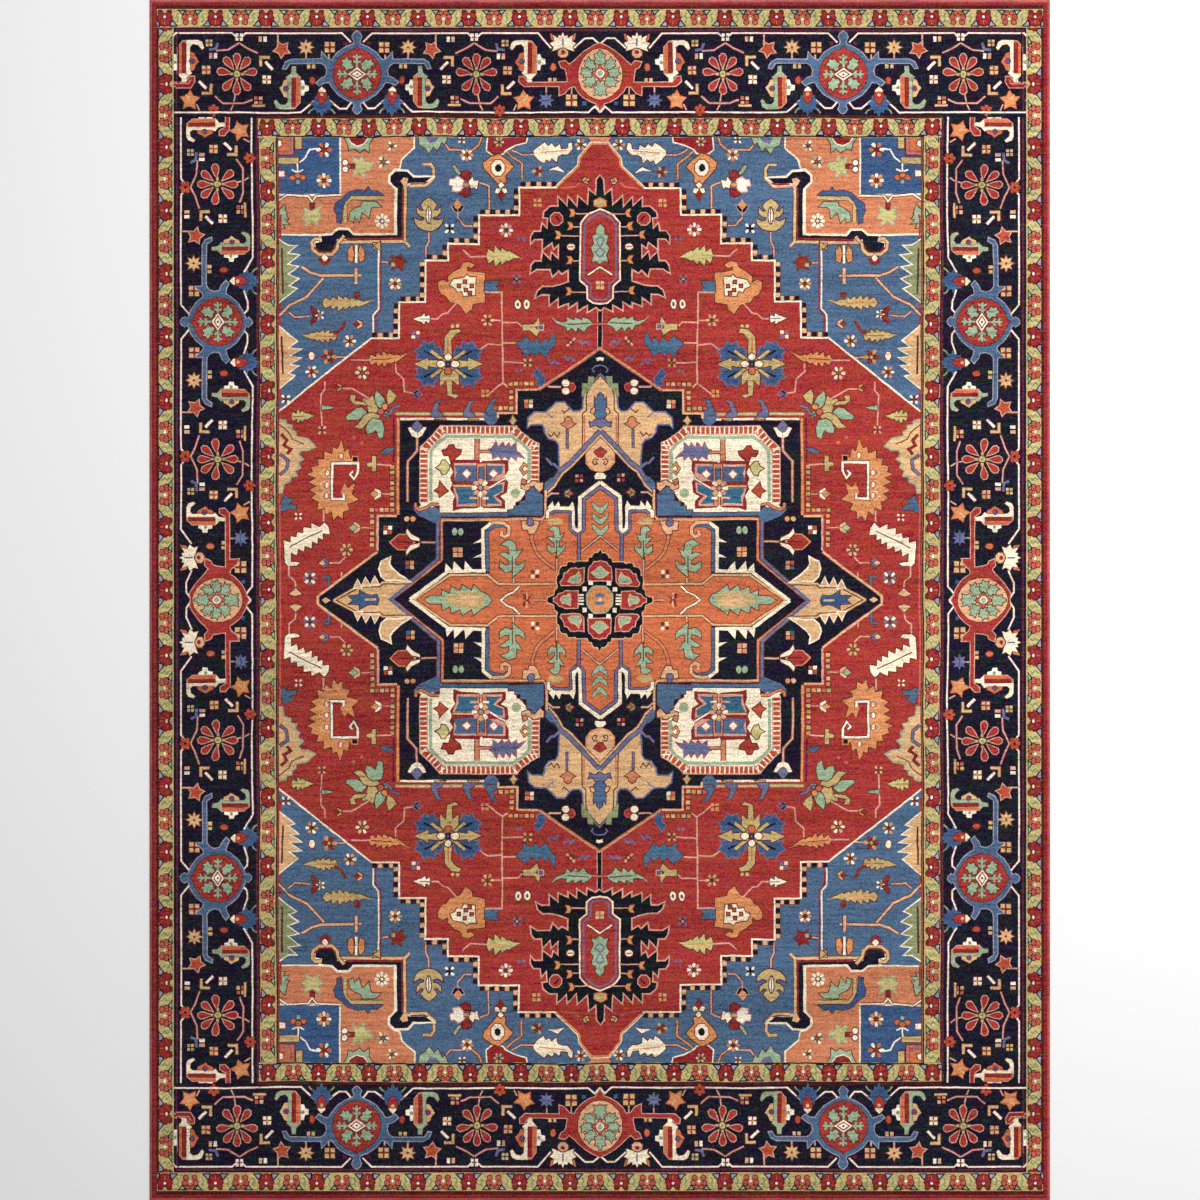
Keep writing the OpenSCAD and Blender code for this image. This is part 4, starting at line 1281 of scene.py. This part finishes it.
def block_flower(d, x, y, petals, heart, size=1.0):
    """Four square petals close together about a small heart."""
    d = d.at(x, y, 0, size)
    for px in (-2.9, 2.9):
        for py in (-2.9, 2.9):
            d.patch(petals, [(px - 2.1, py - 2.1), (px + 2.1, py - 2.1), (px + 2.1, py + 2.1),
                             (px - 2.1, py + 2.1)], "umber", 0.7)
    d.disc(heart, 0, 0, 2.2, sides=4)


def half_run(d, s, low, high, k, joint):
    """From the madder palmette at the origin outwards, along +x, to the next one."""

    def run(wool, points, width=1.5, edge="plum"):
        d.line(wool, [(x * s, y) for x, y in points], width, edge)

    run("pink", [(121, -17), (123, -30 * k), (126, -36 * k)], 1.4, None)
    run("chalk", [(6, 32 * k), (15, high), (111, high), (115, 37 * k)])
    run("chalk", [(120, 37 * k), (125, high), (181, high), (194, 26)])
    run("chalk", [(217, 26), (228, 36 * k), (236, 36 * k), (243, 30 * k)])
    run("chalk", [(6, -28 * k), (11, -34 * k), (18, -34 * k), (28, -26)])
    run("chalk", [(43, -26), (56, low), (139, low)])
    run("chalk", [(147, low), (231, low), (238, -32 * k), (243, -38 * k)])
    star(d, 75 * s, 25 * k, 8, "brick", "pink", 5, 60)
    d.line("pink", [(79 * s, 29 * k), (79 * s, high)], 1.6)
    star(d, 51 * s, 27 * k, 8, "camel", "umber", 8)
    d.disc("crimson", 51 * s, 27 * k, 1.6, sides=4)
    d.line("pink", [(51 * s, 20 * k), (51 * s, 14)], 1.6)
    block_flower(d, 27 * s, 27 * k, "camel", "crimson")
    d.line("pink", [(28 * s, 20 * k), (28 * s, 15)], 1.6)
    d.disc("plum", 12 * s, 31 * k, 2.6, sides=4)
    blocks(d, 46 * s, 8, ["straw", "camel"], 2.0)
    d.disc("brick", 45 * s, -6, 2.6, 1.5, edge="maroon")
    tip_flower(d.at(35.5 * s, -26))
    hooked_vase(d, 65 * s, -13, 180, "mint", "camel", True, 0.97 * k)
    blocks(d, 94 * s, 35 * k, ["chalk", "peach"])
    anchor(d, 96 * s, 17, 180)
    block_flower(d, 90 * s, -5, "ivory", "orange", 0.8)
    four_dots(d, 98 * s, -26 * k, ["camel", "rose"], 1.7, 2.4)
    d.line("camel", [(91 * s, -31 * k), (104 * s, -31 * k)], 2.0, "umber")
    border_rosette(d.at(120 * s, 0))
    if joint == "chalk":
        four_dots(d, 117.5 * s, 37 * k, ["chalk"], 1.5, 2.2, "crimson")
    else:
        rosette(d, 117.5 * s, 37 * k, 6.4, [joint], "jet", 6, joint, 30, 1.3)
    run("pink", [(141, 23 * k), (129, 24 * k), (117.5, 31 * k)], 1.4)
    run("pink", [(117.5, 31 * k), (110, 26 * k), (99, 21 * k)], 1.4)
    four_dots(d, 148 * s, 31 * k, ["straw", "camel"], 1.4, 1.9)
    d.line("heather", [(139 * s, 31 * k), (141 * s, 25 * k), (148 * s, 24 * k)], 2.6)
    blocks(d, 144 * s, 18 * k, ["chalk", "pink"], 2.8)
    block_flower(d, 151 * s, 4, "peach", "brick", 0.8)
    anchor(d, 146 * s, -19, 0)
    run("pink", [(142, -22 * k), (134, -29 * k), (113, -29 * k), (104, -25 * k)], 1.4)
    star(d, 167 * s, -26 * k, 9, "orange", "rust", 5, 20)
    d.line("camel", [(167 * s, -26 * k), (171 * s, -20 * k)], 1.6)
    d.line("pink", [(160 * s, -30 * k), (157 * s, low + 2)], 1.4)
    star(d, 189 * s, -26 * k, 8, "heather", "night", 8, 0)
    d.line("denim", [(184 * s, -26 * k), (194 * s, -26 * k)], 1.4)
    d.line("pink", [(189 * s, -18 * k), (189 * s, -13)], 1.4)
    block_flower(d, 214 * s, -26 * k, "camel", "crimson", 1.1)
    d.line("pink", [(214 * s, -20 * k), (214 * s, -13)], 1.4)
    d.disc("denim", 227 * s, -29 * k, 2.6, sides=4)
    blocks(d, 195 * s, -6.4, ["camel", "straw"], 2.4)
    d.disc("rust", 196 * s, 7, 2.8, 1.4, edge="maroon")
    p = d.at(206 * s, 26 * k)
    for side in (1, -1):
        p.patch("rust", [(7 * side, 5), (9 * side, 13), (13 * side, 15), (12 * side, 9)])
    p.both("ivory", [(0, 16), (1.6, 12), (4.4, 13), (5, 10), (10, 13), (8.6, 7), (13, 5),
                     (9.6, 1), (11, -3), (5, -1), (0, 1)], "umber", 0.7)
    p.line("heather", [(0, 10), (0, 2)], 1.6)
    p.disc("peach", 0, -5, 5.4, 0.9, edge="umber")
    p.disc("crimson", 0, -4, 2.4, 0.9)
    hooked_vase(d, 171 * s, 12, 0, "ivory", "rust", True, k)
    peach_palmette(d.at(243 * s, 1, 0, 1, True), k, 78 * s)
    rosette(d, 143 * s, low + 2, 6.0, ["brick"], "maroon", 6, "brick", 30, 1.3)


MAIN_X, MAIN_Y = 426.05, 572.22
end_border = strip(0, INNER_Y, MAIN_X, MAIN_Y, "night")
end_border.line("jet", [(0, 571.6), (427, 571.6)], 1.6)
end_border.line("plum", [(0, 569.6), (424, 569.6)], 2.2)
end_border.line("maroon", [(0, 483.6), (342, 483.6)], 2.0)
end_border.line("plum", [(423, 486), (423, 571)], 2.0)
for away in (False, True):
    half_run(end_border.at(243, 525.5, 0, 1, away), 1.0, -38, 41, 1.0, "chalk")
madder_palmette(end_border.at(243, 525.5), 1.0, 66)
end_border.line("night", [(421.6, 484), (421.6, 567)], 1.6)
end_border.line("chalk", [(343, 487.5), (424, 487.5)], 1.5)
end_border.line("crimson", [(424, 514), (410, 514), (407, 519)], 3.4, "pink")

side_border = strip(INNER_X, 0, MAIN_X, INNER_Y, "night")
side_border.line("plum", [(342.2, 0), (342.2, 484)], 2.2)
side_border.line("plum", [(422.8, 0), (422.8, 484)], 2.0)
side = side_border.at(382, 278, -90, flip=True)
for away in (False, True):
    half_run(side.at(0, 0, 0, 1, away), 278 / 243, -34.5, 36.8, 0.88, "brick")
madder_palmette(side, 0.88, 76)
side_border.line("night", [(420.8, 0), (420.8, 484)], 1.4)
pair(knotted(end_border, down=False), ("top_main_border_pile", "bottom_main_border_pile"),
     (1, -1, 1))
pair(knotted(side_border, across=False), ("right_main_border_pile", "left_main_border_pile"),
     (-1, 1, 1))

# ---- The outer guard's pile ----------------------------------------------------------
# A second straw border, knotted outside the main one, with the inner guard's flowers. They
# stand closer together at the ends than up the sides.

OUTER_X, OUTER_Y = 442.78, 592.89
outer_end = strip(-OUTER_X, MAIN_Y, OUTER_X, OUTER_Y, "straw")
guard_flowers(outer_end.at(0, 581.8), 25.59, 17, -4.6)
outer_end.line("maroon", [(-444, 591.8), (444, 591.8)], 2.2)
outer_side = strip(MAIN_X, -MAIN_Y, OUTER_X, MAIN_Y, "straw")
guard_flowers(outer_side.at(434.2, 0, 90), 32.17, 18, 10, 1.65, 0.83)
outer_side.line("maroon", [(442, -573), (442, 573)], 1.8)
pair(knotted(outer_end, False, False), ("top_outer_guard_pile", "bottom_outer_guard_pile"),
     (1, -1, 1))
pair(knotted(outer_side, False, False), ("right_outer_guard_pile", "left_outer_guard_pile"),
     (-1, 1, 1))

# ---- The band's pile -----------------------------------------------------------------
# The plain crimson band that closes the pattern, a few knots wide all the way round. The
# overcast edge stands against its outer side.

BAND_X, BAND_Y = 446.72, 596.83
band_end = strip(0, OUTER_Y, BAND_X, BAND_Y, "crimson")
band_end.line("maroon", [(0, 593.4), (444, 593.4), (444, 590)], 1.8)
band_side = strip(OUTER_X, 0, BAND_X, OUTER_Y, "crimson")
band_side.line("maroon", [(443.1, 0), (443.1, 594)], 0.8)
pair(knotted(band_end, down=False), ("top_band_pile", "bottom_band_pile"), (1, -1, 1))
pair(knotted(band_side, across=False), ("right_band_pile", "left_band_pile"), (-1, 1, 1))

# ---- The ground weave ----------------------------------------------------------------
# Cotton warps and wefts that the knots are tied round. On the back the knots show through
# in the colours of the pattern, so the sheet is drawn in broad patches of the same wools.
# At both ends its underside is stepped, and the turned web lies in the step.

ground_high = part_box("ground_weave")[1]
web_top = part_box("top_end_web")[1].z
across, along = ground_high.x / knot, ground_high.y / knot
step_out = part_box("top_web_stitches")[0].y / knot
step_in = step_out - 0.2
back = Drawing([(0, 0), (across, 0), (across, along), (0, along)], "crimson")
for half_across, half_along, wool in ((OUTER_X, OUTER_Y, "straw"), (MAIN_X, MAIN_Y, "night"),
                                      (INNER_X, INNER_Y, "straw"), (FIELD_X, FIELD_Y, "madder")):
    back.patch(wool, [(0, 0), (half_across, 0), (half_across, half_along), (0, half_along)])
back.patch("sky", corner_steps[::-1] + [(FIELD_X, FIELD_Y), (0, FIELD_Y)], "ivory", 2)
back.patch("night", [(0, 0)] + medallion_edge, "camel", 2)
back.patch("rust", rust, "ivory", 3)
back.patch("ivory", [(62, 112), (62, 157), (83, 174), (160, 174), (179, 153), (179, 94),
                     (93, 87)], "brick", 4)
back.patch("jet", [(0, 290), (31, 298), (58, 306), (58, 376), (42, 402), (0, 424)], "pink", 2)
back.patch("madder", [(0, 297), (12, 302), (19, 320), (19, 377), (0, 390)], "ivory", 2)
for x, y in ((243, 525), (382, 278)):
    back.disc("sky", x, y, 29, sides=12)
    back.disc("madder", x, y, 24, sides=12)
for x, y in ((0, 527), (382, 0)):
    back.disc("madder", x, y, 29, sides=12)
    back.disc("peach", x, y, 22, sides=12)
for x, y in ((123, 526), (363, 526), (382, 137), (382, 420)):
    border_rosette(back.at(x, y))
back.patch("crimson", [(0, step_in), (across, step_in), (across, along), (0, along)])
back.patch("crimson", [(0, step_out), (across, step_out), (across, along), (0, along)])

bm = knotted(back, longest=14)
wool = bm.faces.layers.int["wool"]
colour = bm.loops.layers.float_color.new("wool_colour")
plan = bm.loops.layers.uv.new("OFBake")
bm.normal_update()
bmesh.ops.reverse_faces(bm, faces=[f for f in bm.faces if f.normal.z > 0])
for face in bm.faces:
    for loop in face.loops:
        loop[colour] = (*shown(WOOL_NAMES[face[wool]]), 1)
        loop[plan].uv = (0.5 + 0.48 * loop.vert.co.x / across, 0.5 + 0.48 * loop.vert.co.y / along)
for v in bm.verts:
    y = abs(v.co.y)
    v.co.z = web_top if y > step_out - 0.01 else 0
    v.co.x, v.co.y = v.co.x * knot, v.co.y * knot
upper = bmesh.ops.duplicate(bm, geom=bm.verts[:] + bm.edges[:] + bm.faces[:])["geom"]
rims = [e for e in bm.edges if e.is_boundary]
for v in upper:
    if isinstance(v, bmesh.types.BMVert):
        v.co.z = ground_high.z
bmesh.ops.reverse_faces(bm, faces=[f for f in upper if isinstance(f, bmesh.types.BMFace)])
bmesh.ops.bridge_loops(bm, edges=rims)
bmesh.ops.recalc_face_normals(bm, faces=bm.faces[:])
mesh = bpy.data.meshes.new("ground_cloth")
bm.to_mesh(mesh)
bm.free()
ground_cloth = bpy.data.objects.new("ground_cloth", mesh)
bpy.context.collection.objects.link(ground_cloth)

# The back of the knots: two small bumps to each, with the cotton weft between the rows
backing, shader = surface("knotted_back", Roughness=0.9, Specular_IOR_Level=0.1)
tree = backing.node_tree
dyed = add(tree, "VertexColor", layer_name="wool_colour")
place = add(tree, "TexCoord").outputs["Object"]
counted = add(tree, "Mapping", {"Vector": place, "Scale": (2 / knot, 1 / knot, 1)})
cells = add(tree, "TexBrick", {"Vector": counted.outputs[0], "Scale": 1.0, "Mortar Size": 0.14,
                               "Mortar Smooth": 0.6, "Brick Width": 1.0, "Row Height": 1.0,
                               "Mortar": (0.62, 0.55, 0.44, 1)}, offset=0.0)
tree.links.new(dyed.outputs["Color"], cells.inputs["Color1"])
tree.links.new(dyed.outputs["Color"], cells.inputs["Color2"])
woven = add(tree, "Group", {"Wool": cells.outputs["Color"], "Streaks": 0.06}, node_tree=abrash)
tree.links.new(woven.outputs["Colour"], shader.inputs["Base Color"])
low = add(tree, "Math", {0: 1.0, 1: cells.outputs["Fac"]}, operation="SUBTRACT")
bumps = add(tree, "Bump", {"Height": low.outputs[0], "Strength": 0.7, "Distance": 0.0006})
tree.links.new(bumps.outputs[0], shader.inputs["Normal"])
mesh.materials.append(backing)
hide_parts("ground_weave")
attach(ground_cloth, "root")

# ---- Edge cords ----------------------------------------------------------------------
# Plied cotton cords, two down each edge, that give the edge its body. They are whole
# pieces of the design, and only their cotton is added.

cord_cotton, shader = surface("plied_cotton", Roughness=0.85, Specular_IOR_Level=0.15)
tree = cord_cotton.node_tree
place = add(tree, "TexCoord").outputs["Object"]
slant = add(tree, "Mapping", {"Vector": place, "Rotation": (0.6, 0.5, math.radians(45))})
plies = add(tree, "TexWave", {"Vector": slant.outputs[0], "Scale": 180.0, "Distortion": 1.0})
# The pale cotton darkens to brown in the grooves between the plies, on the same waves as the bumps:
# painted shade in the grooves.
cotton_and_groove_shade = add(tree, "MixRGB", {0: plies.outputs["Fac"], 1: (0.42, 0.35, 0.25, 1),
                            2: (0.74, 0.67, 0.54, 1)})
tree.links.new(cotton_and_groove_shade.outputs[0], shader.inputs["Base Color"])
bumps = add(tree, "Bump", {"Height": plies.outputs["Fac"], "Strength": 0.8, "Distance": 0.0005})
tree.links.new(bumps.outputs[0], shader.inputs["Normal"])
for edge in ("left", "right", "top", "bottom"):
    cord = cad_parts[edge + "_edge_cords"]
    cord.data.materials.clear()
    cord.data.materials.append(cord_cotton)

# ---- Overcasting ---------------------------------------------------------------------
# Crimson wool wound over the cords and through the edge, wrap beside wrap, so that each
# edge ends in a low round rib. One winding per edge, from corner to corner.

# The pitch of the wraps, how far each leans along the edge, and how much thinner the rib
# is between two of them
WRAP = 0.0034
WRAP_SLANT = 0.0016
VALLEY = 0.93
RIB_SIDES = 12

wound_wool, shader = surface("wound_wool", Roughness=0.9, Specular_IOR_Level=0.1)
tree = wound_wool.node_tree
woven = add(tree, "Group", {"Wool": (*shown("overcast"), 1), "Streaks": 0.12}, node_tree=abrash)
place = add(tree, "TexCoord").outputs["Object"]
wraps = add(tree, "TexNoise", {"Vector": place, "Scale": 240.0, "Detail": 2.0})
patches = add(tree, "TexNoise", {"Vector": place, "Scale": 9.0, "Detail": 3.0})
depth = add(tree, "MapRange", {"Value": patches.outputs[0], "From Min": 0.3, "From Max": 0.7,
                               "To Min": 0.78, "To Max": 1.14})
toned = add(tree, "VectorMath", {0: woven.outputs["Colour"], "Scale": depth.outputs[0]},
            operation="SCALE")
tree.links.new(toned.outputs[0], shader.inputs["Base Color"])
tree.links.new(woven.outputs["Roughness"], shader.inputs["Roughness"])
bumps = add(tree, "Bump", {"Height": wraps.outputs[0], "Strength": 0.5, "Distance": 0.0008})
tree.links.new(bumps.outputs[0], shader.inputs["Normal"])

for edge in ("left", "right", "top", "bottom"):
    low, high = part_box(edge + "_overcasting")
    lengthwise = 1 if edge in ("left", "right") else 0
    outward = 1 if edge in ("right", "top") else -1
    wraps_along = round((high - low)[lengthwise] / WRAP)
    middle, half = (low + high) / 2, (high - low) / 2
    bm = bmesh.new()
    bmesh.ops.create_grid(bm, x_segments=2 * wraps_along, y_segments=RIB_SIDES, size=1)
    for v in bm.verts:
        angle = math.pi * v.co.y
        across_rib, up = math.cos(angle), math.sin(angle)
        squared = 1.0 if across_rib > 0 else 0.45  # the inner side lies against the band
        valley = VALLEY if round((v.co.x + 1) * wraps_along) % 2 else 1.0
        out = math.copysign(abs(across_rib) ** squared, across_rib) * valley * outward
        run = v.co.x * half[lengthwise]
        ease = min(1, (half[lengthwise] - abs(run)) / (4 * WRAP))
        spot = Vector((0, 0, middle.z + half.z * up * (1 if up < 0 else valley)))
        spot[lengthwise] = middle[lengthwise] + run + ease * WRAP_SLANT * up
        spot[1 - lengthwise] = middle[1 - lengthwise] + half[1 - lengthwise] * out
        v.co = spot
    bmesh.ops.remove_doubles(bm, verts=bm.verts[:], dist=1e-5)
    bmesh.ops.holes_fill(bm, edges=[e for e in bm.edges if e.is_boundary], sides=0)
    bmesh.ops.recalc_face_normals(bm, faces=bm.faces[:])
    for face in bm.faces:
        face.smooth = True
    mesh = bpy.data.meshes.new(edge + "_wound_edge")
    bm.to_mesh(mesh)
    bm.free()
    rib = bpy.data.objects.new(edge + "_wound_edge", mesh)
    bpy.context.collection.objects.link(rib)
    mesh.materials.append(wound_wool)
    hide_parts(edge + "_overcasting")
    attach(rib, "root")

# ---- End webs and their stitches -----------------------------------------------------
# The warps and wefts go on past the last knots as a flat cotton web, which is turned
# under and sewn down with running stitches. Both are whole pieces of the design.

web_cotton, shader = surface("flat_woven_cotton", Roughness=0.9, Specular_IOR_Level=0.1)
tree = web_cotton.node_tree
place = add(tree, "TexCoord").outputs["Object"]
counted = add(tree, "Mapping", {"Vector": place, "Scale": (700, 900, 1)})
# The gaps between the threads are dark brown where the bumps are low: painted shade between the
# threads. The two thread colours are the cotton's own.
cells = add(tree, "TexBrick", {"Vector": counted.outputs[0], "Scale": 1.0, "Mortar Size": 0.1,
                               "Mortar Smooth": 0.8, "Brick Width": 2.0, "Row Height": 1.0,
                               "Color1": (0.70, 0.62, 0.48, 1), "Color2": (0.60, 0.52, 0.39, 1),
                               "Mortar": (0.36, 0.30, 0.21, 1)})
tree.links.new(cells.outputs["Color"], shader.inputs["Base Color"])
low = add(tree, "Math", {0: 1.0, 1: cells.outputs["Fac"]}, operation="SUBTRACT")
bumps = add(tree, "Bump", {"Height": low.outputs[0], "Strength": 0.8, "Distance": 0.0004})
tree.links.new(bumps.outputs[0], shader.inputs["Normal"])
for edge in ("top", "bottom"):
    for node_name, finish in ((edge + "_end_web", web_cotton),
                              (edge + "_web_stitches", cord_cotton)):
        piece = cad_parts[node_name]
        piece.data.materials.clear()
        piece.data.materials.append(finish)

# ---- Floor, light and camera ---------------------------------------------------------
# A plain pale floor, a soft light from above the far right corner with an even white sky,
# and a camera with a long lens straight above the rug's middle.

floor_mesh = bpy.data.meshes.new("floor")
bm = bmesh.new()
bmesh.ops.create_grid(bm, x_segments=1, y_segments=1, size=30)
bm.to_mesh(floor_mesh)
bm.free()
floor = bpy.data.objects.new("floor", floor_mesh)
bpy.context.collection.objects.link(floor)
floor_mat, shader = surface("pale_floor", Base_Color=(0.95, 0.95, 0.95, 1), Roughness=0.9)
floor_mesh.materials.append(floor_mat)

world = bpy.context.scene.world or bpy.data.worlds.new("studio")
bpy.context.scene.world = world
world.use_nodes = True
world.node_tree.nodes["Background"].inputs["Color"].default_value = (1, 1, 1, 1)
world.node_tree.nodes["Background"].inputs["Strength"].default_value = 0.3
key = bpy.data.lights.new("softbox", "AREA")
key.energy = 500
key.size = 4
key_object = bpy.data.objects.new("softbox", key)
key_object.location = (2.9, 2.4, 6.2)
key_object.rotation_euler = (-key_object.location).to_track_quat("-Z", "Y").to_euler()
bpy.context.collection.objects.link(key_object)

camera_data = bpy.data.cameras.new("camera")
camera = bpy.data.objects.new("camera", camera_data)
bpy.context.collection.objects.link(camera)
bpy.context.scene.camera = camera
camera_data.lens = 220
camera_data.sensor_width = 36
# The view takes in 1200 knots each way: the rug's whole length, and a third more than its
# width
VIEW_KNOTS = 1200
height = VIEW_KNOTS * knot * camera_data.lens / camera_data.sensor_width
camera.location = (0, 0, height)
camera_data.clip_end = 200
bpy.context.scene.view_settings.view_transform = "Standard"
